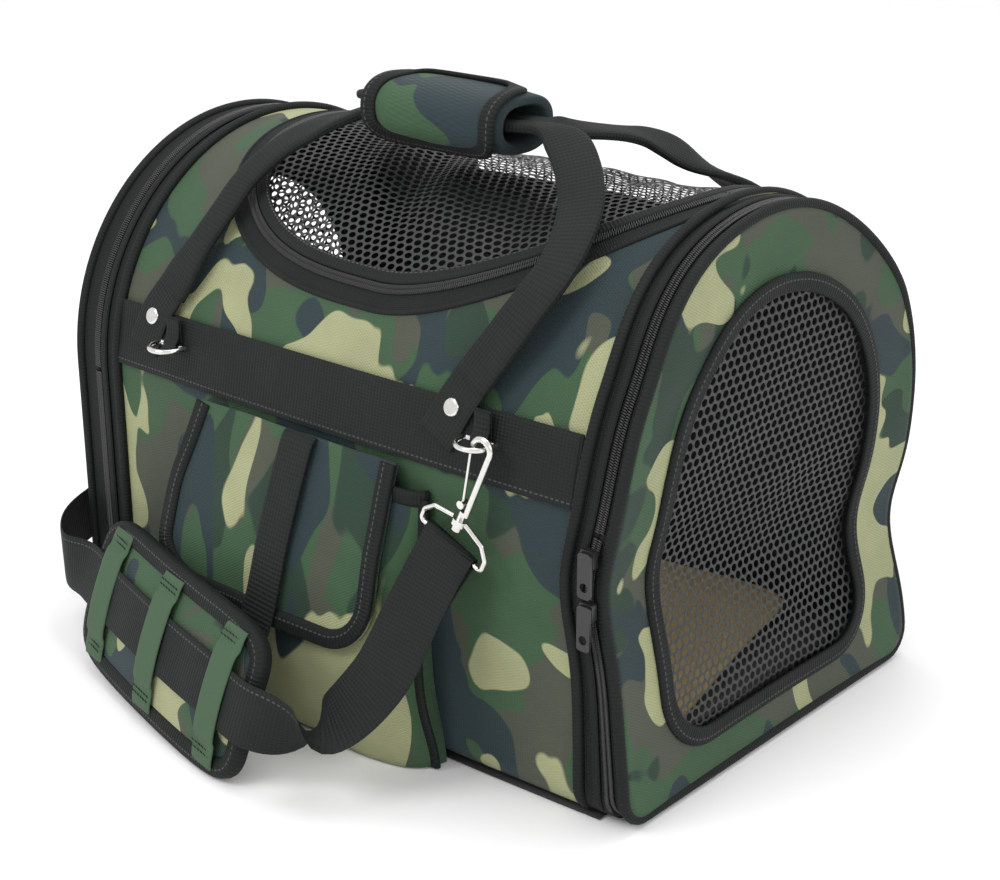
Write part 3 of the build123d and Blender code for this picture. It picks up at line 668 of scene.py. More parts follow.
def build_belts():
    """Side belts: flat webbing laid along the bag at belt height."""
    x = np.linspace(FAR_SEAM + 0.003, NEAR_SEAM - 0.003, 90)
    for name, side in (("front_belt", -1), ("back_belt", 1)):
        path = tunnel(x, np.full_like(x, SEAM_ANGLE), 0.0009)
        path[:, 1] *= -side
        up = np.broadcast_to([0, side * math.cos(SEAM_ANGLE), math.sin(SEAM_ANGLE)], path.shape)
        obj = sweep(name, slump(path), up, lens(BELT_WIDTH, 0.0018, 28, 0.2))
        pieces = ["side_belts"] if side < 0 else []
        finish_piece(obj, MATERIALS["belt"], "root", pieces)
        for row, off in (("low", -BELT_STITCH), ("high", BELT_STITCH)):
            edge = tunnel(x, np.full_like(x, SEAM_ANGLE + off / MID_HALF), 0.0020)
            edge[:, 1] *= -side
            stitch_row(f"{name}_{row}_stitch", slump(edge), up, MATERIALS["binding"])


def end_ring(x, lift, low, count=260):
    """Closed run round an end at station x, lifted off the skin, with outward directions."""
    outline = arch_outline(float(bow(x)) + lift, low, CORNER_R, count)
    path = np.concatenate([np.full((count, 1), x), outline], 1)
    step = np.roll(outline, -1, 0) - np.roll(outline, 1, 0)
    out = np.stack([np.zeros(count), -step[:, 1], step[:, 0]], 1)
    out /= np.linalg.norm(out, axis=1, keepdims=True)
    return slump(path), out


def face_ring(x, half, low, corner, count=200):
    outline = arch_outline(half, low, corner, count)
    return np.concatenate([np.full((count, 1), x), outline], 1)


def dish(points, sign, depth):
    """Presses a door's face in towards the bag, most in the middle."""
    y, z = points[..., 1], points[..., 2]
    fall = np.clip(1 - (y / END_HALF)**2, 0, 1) * np.clip(1 - ((z - 0.14) / 0.155)**2, 0, 1)
    moved = points.copy()
    moved[..., 0] -= sign * depth * fall
    return moved


def build_door(end, sign, face_x, zip_x):
    """End door: camouflage ring with an arched net window, binding, rim tape and corded edge."""
    body = f"{end}_door"
    depth = 0.007
    outer = face_ring(face_x, END_HALF - 0.0005, 0.0045, CORNER_R)
    inner = face_ring(face_x, WINDOW_HALF + 0.004, WINDOW_LOW - 0.004, 0.034)
    t = np.linspace(0, 1, 14)[None, :, None]
    points = slump(dish(inner[:, None] * (1 - t) + outer[:, None] * t, sign, depth))
    points[..., 0] += sign * ripple(points, 0.035, 0.0012) * np.sin(t[..., 0] * math.pi)
    uv = np.concatenate([points, points[:1]])[..., 1:]
    obj = sheet(f"{end}_face", points, uv, wrap_u=True, thick=0.0016)
    finish_piece(obj, MATERIALS["end"], body, [f"{end}_door_panel"])

    def place(plan):
        flat = np.concatenate([np.full(plan.shape[:-1] + (1,), face_x - sign * 0.001), plan], -1)
        net = slump(dish(flat, sign, depth))
        net[..., 0] += sign * ripple(net, 0.03, 0.0015)
        return net

    def inside(plan):
        y, z = np.abs(plan[:, 0]), plan[:, 1]
        arch = np.hypot(y, np.maximum(z - ARCH_Z, 0)) < WINDOW_HALF + 0.003
        corner = np.hypot(np.maximum(y - 0.062, 0), np.maximum(0.060 - z, 0)) < 0.031
        return arch & corner

    net = honeycomb(f"{end}_net", (-0.096, 0.026), (0.096, 0.26), inside, place, NET_PITCH)
    finish_piece(net, MATERIALS["net"], body, [f"{end}_door_mesh"])
    edge = face_ring(face_x + sign * 0.0012, WINDOW_HALF + 0.0045, WINDOW_LOW - 0.0045, 0.035, 240)
    binding = sweep(f"{end}_window_trim", slump(dish(edge, sign, depth)), (sign, 0, 0),
                    lens(0.0105, 0.0034, 16, 0.6), closed=True)
    finish_piece(binding, MATERIALS["binding"], body, [f"{end}_window_binding"])
    path, out = end_ring(face_x - sign * 0.0024, -0.0005, 0.0045)
    cord = sweep(f"{end}_cord", path + out * 0.001, out, tube(0.0029), closed=True)
    finish_piece(cord, MATERIALS["binding"], body, [f"{end}_door_welt"])
    x0, x1 = sorted((zip_x + sign * 0.0002, face_x - sign * 0.002))
    rim_points = np.stack([end_ring(x, 0.0002, 0.004)[0] for x in np.linspace(x0, x1, 6)], 1)
    run = np.linspace(0, 0.95, len(rim_points) + 1)
    rim = sheet(f"{end}_rim", rim_points, uv_of(run, np.linspace(0, x1 - x0, 6)), wrap_u=True, thick=0.0012)
    finish_piece(rim, MATERIALS["tape"], body, [f"{end}_door_rim"])
    path, out = end_ring(zip_x + sign * 0.0013, 0.0006, 0.005)
    across = np.broadcast_to([1.0, 0, 0], path.shape)
    teeth = coil_row(f"{end}_door_teeth", path, across, out, COIL_PITCH, COIL_LINK)
    finish_piece(teeth, MATERIALS["coil"], body, [f"{end}_door_coil"])


def build_end_band(end, sign, seam_x, zip_x):
    """Body side of an end zip: tape, teeth and the corded seam against the camouflage."""
    x0, x1 = sorted((seam_x, zip_x - sign * 0.0002))
    rows = np.stack([end_ring(x, 0.0, 0.0006)[0] for x in np.linspace(x0, x1, 8)], 1)
    run = np.linspace(0, 0.95, len(rows) + 1)
    tape = sheet(f"{end}_tape", rows, uv_of(run, np.linspace(0, x1 - x0, 8)), wrap_u=True, thick=0.0012)
    near = end == "near"
    finish_piece(tape, MATERIALS["tape"], "root", ["end_zip_tapes"] if near else [])
    path, out = end_ring(zip_x - sign * 0.0013, 0.0006, 0.003)
    across = np.broadcast_to([1.0, 0, 0], path.shape)
    teeth = coil_row(f"{end}_body_teeth", path, across, out, COIL_PITCH, COIL_LINK)
    finish_piece(teeth, MATERIALS["coil"], "root", ["end_body_coils"] if near else [])
    path, out = end_ring(seam_x, 0.0012, 0.0035)
    cord = sweep(f"{end}_seam_cord", path, out, tube(0.0030), closed=True)
    finish_piece(cord, MATERIALS["binding"], "root",
                 ["seam_welts", "arch_hoops"] if near else [])
    path, out = end_ring(zip_x - sign * 0.0062, 0.0008, 0.0025)
    fold = sweep(f"{end}_tape_fold", path, out, lens(0.0050, 0.0022, 12, 0.7), closed=True)
    finish_piece(fold, MATERIALS["tape"], "root")


# --- top flap -----------------------------------------------------------------
def flap_sag(points):
    """Net sags a little in the middle of the flap and gathers in shallow folds."""
    u = (points[..., 0] - (FLAP_X0 + FLAP_X1) / 2) / 0.15
    v = points[..., 1] / FLAP_HALF
    fall = np.clip(1 - u**2, 0, 1) * np.clip(1 - v**2, 0, 1)
    moved = points.copy()
    moved[..., 2] -= 0.010 * fall + ripple(points, 0.026, 0.004) * fall
    return moved


def plan_ring(grow, count, lift):
    path = on_arch(flap_outline(grow, count), lift)
    out = (path - [0, 0, ARCH_Z]) * [0, 1, 1]
    out /= np.linalg.norm(out, axis=1, keepdims=True)
    step = np.roll(path, -1, 0) - np.roll(path, 1, 0)
    across = np.cross(step, out)
    across /= np.linalg.norm(across, axis=1, keepdims=True)
    return slump(path), out, across


def build_top():
    """Top flap and its zip: honeycomb net on the arch, binding inside the coil, tape outside it."""
    def inside(plan):
        u = (plan[:, 0] - (FLAP_X0 + FLAP_X1) / 2) / 0.1455
        v = bow(plan[:, 0]) * np.sin(plan[:, 1] / MID_HALF) / (FLAP_HALF - 0.003)
        power = flap_power(u, v)
        return np.abs(u)**power + np.abs(v)**power < 1

    def place(plan):
        return slump(flap_sag(on_arch(plan, -0.0012)))

    net = honeycomb("top_net", (-0.128, -0.134), (0.175, 0.134), inside, place, NET_PITCH)
    finish_piece(net, MATERIALS["net"], "top_flap", ["flap_mesh"])
    path, out, across = plan_ring(-0.0068, 260, 0.0004)
    trim = sweep("top_trim", path, out, lens(0.0078, 0.0030, 14, 0.6), closed=True)
    finish_piece(trim, MATERIALS["binding"], "top_flap", ["flap_binding"])
    path, out, across = plan_ring(-0.0022, 260, -0.0002)
    lip = sweep("top_lip", path, out, lens(0.0042, 0.0008, 10, 0.4), closed=True)
    finish_piece(lip, MATERIALS["tape"], "top_flap")
    path, out, across = plan_ring(-0.0013, 500, 0.0007)
    teeth = coil_row("top_flap_teeth", path, across, out, COIL_PITCH, COIL_LINK)
    finish_piece(teeth, MATERIALS["coil"], "top_flap", ["flap_zip_coil"])
    path, out, across = plan_ring(0.0013, 500, 0.0007)
    teeth = coil_row("roof_teeth", path, across, out, COIL_PITCH, COIL_LINK)
    finish_piece(teeth, MATERIALS["coil"], "root", ["roof_zip_coil"])
    path, out, across = plan_ring(0.0060, 260, -0.0001)
    tape = sweep("roof_tape", path, out, lens(0.0116, 0.0014, 14, 0.4), closed=True)
    finish_piece(tape, MATERIALS["tape"], "root", ["roof_zip_tape"])
    path, out, across = plan_ring(0.0122, 260, -0.0003)
    cord = sweep("roof_cord", path, out, tube(0.0017), closed=True)
    finish_piece(cord, MATERIALS["binding"], "root")


def closed_skin(name, points, uv, wrap_u, wrap_v):
    """Closed skin on a grid of points whose poles have run together, turned outwards."""
    nu, nv = points.shape[:2]
    quads, loop_uv = grid_faces(nu, nv, wrap_u, wrap_v, uv)
    obj = add_object(name, points.reshape(-1, 3), [quads], loop_uv)
    recalculate(obj)
    return obj


def cushion(name, half, thick, power, place, crown=0.3):
    """Crowned pad: a superellipse outline shrunk to a pole on both faces, its half thickness
    falling off as a blunt superquadric and a little more towards the edge."""
    a = np.linspace(0, 2 * math.pi, 160, endpoint=False)
    b = np.linspace(0, math.pi, 46)
    reach = (np.abs(np.cos(a) / half[0])**power + np.abs(np.sin(a) / half[1])**power)**(-1 / power)
    r = np.sin(b)**0.7
    u = (reach * np.cos(a))[:, None] * r[None]
    v = (reach * np.sin(a))[:, None] * r[None]
    w = thick / 2 * signed_power(np.cos(b), 0.45) * (1 - crown * r**2)
    w = np.broadcast_to(w, u.shape)
    points = place(u, v, w)
    flat = np.stack([u, v + 0.3 * (b > math.pi / 2)], -1)
    flat = np.concatenate([flat, flat[:1]])
    return closed_skin(name, points, flat, True, False)


def stitch_row(name, path, out, material, body="root", length=0.0024):
    """Sewn line: short raised threads end to end along a path."""
    path = np.asarray(path, float)
    along = np.gradient(path, axis=0)
    along /= np.linalg.norm(along, axis=1, keepdims=True)
    out = np.broadcast_to(np.asarray(out, float), path.shape)
    obj = coil_row(name, path + out * 0.0002, along, out, length * 1.35, (length / 2, 0.0003, 0.0003))
    return finish_piece(obj, material, body)


def around(x, degrees, lift):
    """Point over the arch, degrees up from the -Y edge and lift above the panel."""
    return tunnel(np.asarray(x, float), np.radians(degrees), lift)


def outwards(path):
    """Directions straight out from the arch's axis."""
    out = (np.asarray(path) - [0, 0, ARCH_Z]) * [0, 1, 1]
    return out / np.linalg.norm(out, axis=1, keepdims=True)


# --- pocket -------------------------------------------------------------------
POCKET_HALF, FLAP_LEAN, FLAP_DROP = 0.084, math.radians(15.5), 0.106
POCKET_FLAP_MIDDLE, POCKET_FLAP_HALF, POCKET_FLAP_CORNER = -0.0095, 0.0755, 0.028
FLAP_TOP_Y, FLAP_TOP_Z = -0.1448, 0.166


def pocket_flap_place(x, drop, lift=0.0):
    """Point of the pocket flap at station x and a drop down it, bulging and waving a little."""
    u = (x - POCKET_FLAP_MIDDLE) / POCKET_FLAP_HALF
    t = np.clip(drop / FLAP_DROP, 0, 1)
    bulge = 0.0035 * (1 - u**2) * np.sin(math.pi * t) + 0.0018 * np.sin(4.2 * u + 0.8) * t**2
    off = lift + bulge
    y = FLAP_TOP_Y - drop * math.sin(FLAP_LEAN) - off * math.cos(FLAP_LEAN)
    z = FLAP_TOP_Z - drop * math.cos(FLAP_LEAN) + off * math.sin(FLAP_LEAN)
    return np.stack([x + 0 * y, y, z], -1)


def flap_half_at(drop, inset=0.0):
    """Half width of the flap at a drop: full, then drawn in round the lower corners."""
    corner = POCKET_FLAP_CORNER - inset
    over = np.clip(drop - (FLAP_DROP - inset - corner), 0, corner)
    return POCKET_FLAP_HALF - inset - corner + np.sqrt(np.maximum(corner**2 - over**2, 0))


def flap_spread(x, drop):
    """Spreads the flap's far corner outwards down its length, as soft cloth does."""
    share = np.clip((POCKET_FLAP_MIDDLE - x) / POCKET_FLAP_HALF, 0, 1)
    return x - 0.017 * share**2 * smoothstep(-0.01, 0.06, drop)


def build_pocket():
    """Bellows pocket: a front that bulges between two gussets, its flap and the pull tab."""
    u = np.linspace(-1, 1, 110)
    z = np.linspace(0.0008, 0.150, 46)
    depth = np.interp(z, [0, 0.012, 0.042, 0.10, 0.150], [0.020, 0.027, 0.033, 0.020, 0.006])
    depth = np.convolve(np.pad(depth, 4, mode="edge"), np.ones(9) / 9, "valid")
    flare = 0.010 * np.exp(-(z / 0.035)**2)
    x = u[:, None] * (POCKET_HALF + flare[None] * (u[:, None] > 0))
    gusset = (1 - np.abs(u)**7)**0.5
    y = -(bow(x) + 0.0012 + depth[None] * gusset[:, None])
    points = np.stack([x, y, z[None] + 0 * x], -1)
    points[..., 1] -= ripple(points, 0.03, 0.0022) * gusset[:, None]
    side = np.concatenate([[0], np.cumsum(np.linalg.norm(np.diff(points[:, 20], axis=0), axis=1))])
    body = sheet("pocket_front", points, uv_of(side, z), thick=0.0018)
    finish_piece(body, MATERIALS["pocket"], "root", ["pocket_body"])
    mouth = sweep("pocket_mouth", points[:, -1], (0, 0, 1), lens(0.0032, 0.009, 14, 0.6))
    finish_piece(mouth, MATERIALS["binding"], "root")
    for label, row in (("left", points[1]), ("right", points[-2])):
        trim = sweep(f"pocket_{label}_trim", row, (0, -1, 0), lens(0.008, 0.0034, 14, 0.6))
        finish_piece(trim, MATERIALS["binding"], "root")

    drop = np.concatenate([np.linspace(0.0, FLAP_DROP - POCKET_FLAP_CORNER, 34),
                           FLAP_DROP - POCKET_FLAP_CORNER
                           + POCKET_FLAP_CORNER * np.sin(np.linspace(0.04, 1.54, 20))])
    half = flap_half_at(drop)
    across = np.linspace(-1, 1, 70)
    plan_x = flap_spread(POCKET_FLAP_MIDDLE + across[:, None] * half[None], drop[None])
    points = pocket_flap_place(plan_x, drop[None] + 0 * plan_x, 0.001)
    points[..., 1] -= ripple(points, 0.03, 0.0010)
    flap = sheet("pocket_flap", points, np.stack([plan_x, drop[None] + 0 * plan_x], -1), thick=0.002)
    finish_piece(flap, MATERIALS["pocket"], "pocket_flap", ["pocket_flap_panel"])
    inset = 0.0048
    low = FLAP_DROP - POCKET_FLAP_CORNER
    curve = np.linspace(0, math.pi / 2, 18)
    r = POCKET_FLAP_CORNER - inset
    left_x = np.concatenate([np.full(20, -POCKET_FLAP_HALF + inset),
                             -POCKET_FLAP_HALF + POCKET_FLAP_CORNER - r * np.cos(curve)])
    left_d = np.concatenate([np.linspace(0.0012, low - 0.002, 20), low + r * np.sin(curve)])
    bottom = np.linspace(left_x[-1], -left_x[-1], 30)[1:-1]
    edge_x = POCKET_FLAP_MIDDLE + np.concatenate([left_x, bottom, -left_x[::-1]])
    edge_d = np.concatenate([left_d, np.full(28, left_d[-1]), left_d[::-1]])
    edge_x = flap_spread(edge_x, edge_d)
    normal = (0, -math.cos(FLAP_LEAN), math.sin(FLAP_LEAN))
    path = pocket_flap_place(edge_x, edge_d, 0.0016)
    path[:, 1] -= ripple(path, 0.03, 0.0010)
    trim = sweep("pocket_flap_trim", path, normal, lens(0.0105, 0.0042, 16, 0.6))
    finish_piece(trim, MATERIALS["binding"], "pocket_flap", ["pocket_flap_binding"])
    run = np.array([0.0, 0.006, 0.03, 0.06, 0.09, 0.108, 0.120])
    rise = np.array([0.002, 0.0042, 0.0044, 0.0046, 0.0050, 0.0070, 0.0110])
    tab_x = np.array([-0.002, -0.0022, -0.003, -0.0045, -0.0065, -0.008, -0.009])
    tab_path = smooth_path(pocket_flap_place(tab_x, run, rise), 50)
    tab = sweep("flap_tab", tab_path, normal, lens(0.0235, 0.0026, 22, 0.25))
    finish_piece(tab, MATERIALS["webbing"], "pocket_flap", ["pocket_tab"])


# --- handles, keepers and anchors ---------------------------------------------
GRIP_Y, GRIP_Z, GRIP_X0, GRIP_X1 = -0.025, 0.320, -0.046, 0.049
GRIP_HALF_Y, GRIP_HALF_Z = 0.0255, 0.0165
HANDLE_ROUTES = {
    "near": (((-0.1222, 24.0, 0.0060), (-0.111, 34, 0.0085), (-0.104, 44.5, 0.0095), (-0.101, 54, 0.011),
              (-0.089, 64, 0.015), (-0.070, 71, 0.018)),
             ((-0.046, -0.034, GRIP_Z - 0.002), (0.0, -0.033, GRIP_Z), (0.040, -0.033, GRIP_Z),
              (0.082, -0.035, GRIP_Z)),
             ((0.118, 66, 0.015), (0.133, 51, 0.013), (0.126, 37, 0.012), (0.108, 23, 0.0080))),
    "far": (((-0.130, 157, 0.0080), (-0.126, 143, 0.014), (-0.112, 128, 0.013), (-0.090, 108, 0.013)),
            ((-0.074, -0.017, GRIP_Z), (-0.030, -0.017, GRIP_Z), (0.030, -0.017, GRIP_Z),
             (0.069, -0.017, GRIP_Z)),
            ((0.076, 108, 0.013), (0.092, 128, 0.013), (0.108, 143, 0.018), (0.107, 157, 0.0080))),
}


def build_handles():
    """Carrying handles of folded webbing, the padded wrap round both grips, and the anchors."""
    width = bpy.context.scene.carrier_sizes.handle_width
    for label, (left, grip, right) in HANDLE_ROUTES.items():
        points = [around(*p) for p in left] + [np.array(p) for p in grip] + [around(*p) for p in right]
        path = smooth_path(points, 190)
        inside = smoothstep(-0.092, -0.066, path[:, 0]) * (1 - smoothstep(0.062, 0.092, path[:, 0]))
        inside = inside * smoothstep(0.300, 0.312, path[:, 2])
        up = outwards(path)
        up = up * (1 - inside[:, None]) + np.array([0.0, 0.0, 1.0]) * inside[:, None]
        up /= np.linalg.norm(up, axis=1, keepdims=True)
        if label == "far":
            twist = smoothstep(0.055, 0.085, path[:, 0]) * (1 - smoothstep(0.06, 0.11, path[:, 1]))
            up = up + twist[:, None] * np.array([0.3, -1.5, 0.4])
            up /= np.linalg.norm(up, axis=1, keepdims=True)
        rolled = 0.25 * (1 - smoothstep(-0.11, -0.07, path[:, 0])) * smoothstep(0.225, 0.25, path[:, 2])
        strap = sweep(f"{label}_handle_webbing", path, up, lens(width, 0.0056, 30, 0.4),
                      swell=1 - 0.42 * inside - rolled)
        finish_piece(strap, MATERIALS["webbing"], f"{label}_handle", [f"{label}_handle"])
    routes = (((-0.1425, 9.5, 0.0028), (-0.136, 17, 0.0032), (-0.130, 21, 0.0040), (-0.1235, 24.8, 0.0052)),
              ((0.0885, 10.0, 0.0028), (0.097, 17, 0.0032), (0.103, 21, 0.0048), (0.1085, 24.5, 0.0068)))
    for label, route in zip(("left", "right"), routes):
        path = smooth_path([around(*p) for p in route], 30)
        for end, side in (("front", 1), ("back", -1)):
            run = path * [1, side, 1]
            strip = sweep(f"{end}_{label}_anchor", run, outwards(run), lens(width, 0.0024, 24, 0.25))
            pieces = ["handle_anchors"] if (end, label) == ("front", "left") else []
            finish_piece(strip, MATERIALS["webbing"], "root", pieces)

    around_section = np.linspace(0, 2 * math.pi, 72, endpoint=False)
    wall_turn = np.linspace(0, 2 * math.pi, 56, endpoint=False)
    c, s = np.cos(around_section), np.sin(around_section)
    ring_y = GRIP_HALF_Y * signed_power(c, 0.75)
    ring_z = GRIP_HALF_Z * signed_power(s, 0.8)
    cw, sw = np.cos(wall_turn), np.sin(wall_turn)
    along = (GRIP_X1 - GRIP_X0) / 2 * signed_power(cw, 0.22)
    share = 0.80 + 0.20 * signed_power(sw, 0.45)
    crown = 1 + 0.05 * (1 - (2 * along / (GRIP_X1 - GRIP_X0))**2) * (sw > 0)
    scale = (share * crown)[None]
    x = (GRIP_X0 + GRIP_X1) / 2 + along[None] + 0 * around_section[:, None]
    points = np.stack([x, GRIP_Y + ring_y[:, None] * scale, GRIP_Z + ring_z[:, None] * scale], -1)
    swell = ripple(points, 0.018, 0.0012)
    points[..., 1] += swell * c[:, None]
    points[..., 2] += swell * s[:, None]
    uv = uv_of(np.linspace(0, 0.14, 73), np.linspace(0, 0.25, 57))
    wrap = closed_skin("grip_wrap_pad", points, uv, True, True)
    finish_piece(wrap, MATERIALS["grip"], "near_handle", ["grip_wrap"])
    a = np.linspace(0, 2 * math.pi, 150, endpoint=False)
    reach = (np.abs(np.cos(a))**4 + np.abs(np.sin(a))**4)**-0.25
    leaf_x = (GRIP_X0 + GRIP_X1) / 2 + 0.0435 * reach * np.cos(a)
    turn = 2.62 + 1.45 * reach * np.sin(a)
    side = np.stack([0 * turn, GRIP_HALF_Y * signed_power(np.cos(turn), 0.75),
                     GRIP_HALF_Z * signed_power(np.sin(turn), 0.8)], -1)
    path = side * 1.045 + [0, GRIP_Y, GRIP_Z]
    path[:, 0] = leaf_x
    band = sweep("grip_leaf_trim", path, side / np.linalg.norm(side, axis=1, keepdims=True),
                 lens(0.0105, 0.0034, 14, 0.6), closed=True)
    finish_piece(band, MATERIALS["binding"], "near_handle")


RING_BAR_Z = 0.190


def build_keepers():
    """Webbing keepers that fold round the D-ring bars and run up under the anchors."""
    fold = np.array([[2.0, 16], [2.2, 5], [2.0, -1.2], [0, -2.5], [-2.1, -1.0], [-2.2, 1.4], [0.2, 5],
                     [0.9, 10], [1.0, 15]]) * MM
    for label, x in (("left", -0.114), ("right", 0.119)):
        reach = float(bow(x)) + 0.0016
        bar_y = -math.sqrt(reach**2 - (RING_BAR_Z - ARCH_Z)**2) - 0.0034
        points = np.stack([np.full(len(fold), x), bar_y + fold[:, 0], RING_BAR_Z + fold[:, 1]], -1)
        path = smooth_path(points, 60)
        along = np.gradient(path, axis=0)
        up = np.cross([1.0, 0, 0], along)
        for end, side in (("front", 1), ("back", -1)):
            loop = sweep(f"{end}_{label}_keeper", path * [1, side, 1], up * [1, side, 1],
                         lens(0.0105, 0.0011, 16, 0.3))
            pieces = ["ring_keepers"] if (end, label) == ("front", "left") else []
            finish_piece(loop, MATERIALS["webbing"], "root", pieces)


# --- shoulder strap and pad ---------------------------------------------------
PAD_CENTRE = np.array([-0.060, -0.203, 0.0445])
PAD_ALONG = np.array([0.974, -0.226, 0.0]) / math.hypot(0.974, 0.226)
PAD_OUT = np.array([-0.212, -0.916, 0.341]) / np.linalg.norm([-0.212, -0.916, 0.341])
PAD_ACROSS = np.cross(PAD_OUT, PAD_ALONG)
PAD_HALF = (0.093, 0.042)
HOOK_TILT = math.radians(24)
HOOK_BAR = np.array([0.10645, -0.14849, 0.13376])
BACK_SHIFT = -0.233


def on_pad(u, v, w):
    """Point in the pad's own directions; its ends fall back and one corner hangs lower."""
    u, v, w = np.broadcast_arrays(*(np.asarray(k, float) for k in (u, v, w)))
    fall = w - 0.005 * (u / PAD_HALF[0])**2 - 0.002 * (v / PAD_HALF[1])**2
    twist = 0.004 * (u / PAD_HALF[0])
    return (PAD_CENTRE + u[..., None] * PAD_ALONG + (v - twist)[..., None] * PAD_ACROSS
            + fall[..., None] * PAD_OUT)


def hook_fold(side):
    """Webbing folded round a hook's bar: up its inner side, half round and down its outer side."""
    down = np.array([-0.24, -0.50, -0.83])
    down /= np.linalg.norm(down)
    across = np.array([math.cos(HOOK_TILT), 0, -math.sin(HOOK_TILT)])
    out = np.cross(down, across)
    out *= -np.sign(out[1])
    turn = np.linspace(0, math.pi, 13)
    rounded = -np.cos(turn)[:, None] * out * 0.0026 - np.sin(turn)[:, None] * down * 0.0026
    steps = np.array([0.030, 0.016, 0.006])[:, None]
    inner = down * steps - out * np.array([0.0011, 0.0014, 0.0022])[:, None]
    outer = down * steps[::-1] + out * np.array([0.0022, 0.0014, 0.0011])[:, None]
    path = HOOK_BAR + np.concatenate([inner, rounded, outer[:2]])
    if side < 0:
        path = path * [1, -1, 1] + [BACK_SHIFT, 0, 0]
    return path, across * [1, side, 1]


def build_strap():
    """Shoulder strap: flat webbing from hook to hook, through the pad's loops and round the far
    end. It is drawn narrower than the frame's 38 mm strap, and stays put when the far door opens."""
    width = bpy.context.scene.carrier_sizes.strap_width
    front, front_across = hook_fold(1)
    back, back_across = hook_fold(-1)
    pad_across = (0.07, 0.33, 0.94)
    over_pad = [(on_pad(u, 0.002, 0.0062), pad_across) for u in (0.100, 0.060, 0.0, -0.060, -0.100)]
    to_pad = [((0.099, -0.168, 0.103), front_across), ((0.0925, -0.190, 0.068), (0.9, 0.15, -0.3)),
              ((0.068, -0.209, 0.039), (0.8, 0.1, 0.25))]
    upright = [(centre, (0, 0, 1)) for centre in (
        (-0.188, -0.172, 0.048), (-0.214, -0.146, 0.052), (-0.227, -0.090, 0.058),
        (-0.229, 0.0, 0.070), (-0.227, 0.090, 0.084), (-0.212, 0.142, 0.094))]
    to_hook = [((-0.182, 0.158, 0.104), (-0.25, 0, 0.97)), ((-0.151, 0.169, 0.101), (-0.6, 0, 0.8))]
    middle = to_pad + over_pad + upright + to_hook
    centres = np.concatenate([front, [m[0] for m in middle], back[::-1]])
    sides = np.array([front_across] * len(front) + [m[1] for m in middle] + [-back_across] * len(back), float)
    sides /= np.linalg.norm(sides, axis=1, keepdims=True)
    count = 12 * (len(centres) - 1) + 1
    path = smooth_path(centres, count)
    side = smooth_path(sides, count)
    up = np.cross(side, np.gradient(path, axis=0))
    up /= np.linalg.norm(up, axis=1, keepdims=True)
    strap = sweep("shoulder_webbing", path, up, lens(width, 0.0018, 30, 0.2))
    finish_piece(strap, MATERIALS["belt"], "root", ["shoulder_strap"])


def build_pad():
    """Shoulder pad: a crowned camouflage cushion with a bound edge and three loops for the strap."""
    thick = bpy.context.scene.carrier_sizes.pad_thickness
    pad = cushion("shoulder_cushion", PAD_HALF, thick, 7.0, on_pad, 0.35)
    finish_piece(pad, MATERIALS["small"], "root", ["shoulder_pad"])
    a = np.linspace(0, 2 * math.pi, 200, endpoint=False)
    half = (PAD_HALF[0] - 0.0038, PAD_HALF[1] - 0.0038)
    reach = (np.abs(np.cos(a) / half[0])**7 + np.abs(np.sin(a) / half[1])**7)**(-1 / 7)
    path = on_pad(reach * np.cos(a), reach * np.sin(a), 0 * a)
    trim = sweep("pad_trim", path, PAD_OUT, lens(0.0120, thick * 0.98, 18, 0.6), closed=True)
    finish_piece(trim, MATERIALS["binding"], "root")
    v = np.array([-0.0385, -0.034, -0.026, -0.020, 0.0, 0.022, 0.028, 0.035, 0.0385])
    w = np.array([0.0048, 0.0056, 0.0060, 0.0078, 0.0084, 0.0078, 0.0060, 0.0056, 0.0048])
    for index, u in enumerate((-0.068, 0.0, 0.068)):
        path = smooth_path(on_pad(u, v, w), 60)
        loop = sweep(f"pad_loop_{index + 1}", path, PAD_OUT, lens(0.021, 0.0016, 18, 0.25))
        finish_piece(loop, MATERIALS["loop"], "root", ["pad_loops"] if index == 0 else [])
        for row, at in enumerate((-0.029, -0.032, 0.031, 0.034)):
            span = u + np.linspace(-0.009, 0.009, 12)
            stitch_row(f"pad_stitch_{index + 1}_{row + 1}", on_pad(span, at, 0.0066), PAD_OUT,
                       MATERIALS["binding"])


# --- floor, mat and hardware --------------------------------------------------
def build_floor():
    """Bag floor, and the pile mat: a thin crowned pad pulled askew at one corner."""
    x = np.linspace(FAR_ZIP + 0.004, NEAR_ZIP - 0.004, 60)
    t = np.linspace(-1, 1, 30)
    y = t[None] * (bow(x) - 0.003)[:, None]
    points = np.stack([x[:, None] + 0 * y, y, np.full_like(y, 0.0004)], -1)
    obj = sheet("bag_floor", points, points[..., :2].copy(), thick=0.0008, away=BAG_MIDDLE)
    finish_piece(obj, MATERIALS["lining"], "root", ["floor_panel"])

    def place(u, v, w):
        pull = smoothstep(-0.10, 0.124, v) * smoothstep(0, 0.18, u)
        return np.stack([u - 0.036 * pull, v, 0.0112 + w + 0.006 * pull], -1)

    mat = cushion("pile_mat", (0.180, 0.124), 0.010, 14.0, place, 0.2)
    finish_piece(mat, MATERIALS["mat"], "root", ["floor_mat"])


def finish_hardware():
    """Finishes for the rigid nodes that are shown as they are."""
    for node in ("rivets", "front_left_ring", "front_right_ring", "back_left_ring", "back_right_ring",
                 "front_hook", "back_hook", "front_hook_gate", "back_hook_gate", "hook_loops"):
        finish_node(node, "nickel")
    for end in ("near", "far"):
        for place in ("upper", "lower"):
            finish_node(f"{end}_{place}_slider", "black_metal")
            finish_node(f"{end}_{place}_pull", "black_metal")
    finish_node("roof_slider", "black_metal")
    finish_node("roof_pull", "black_metal")
    finish_node("base_board", "board")


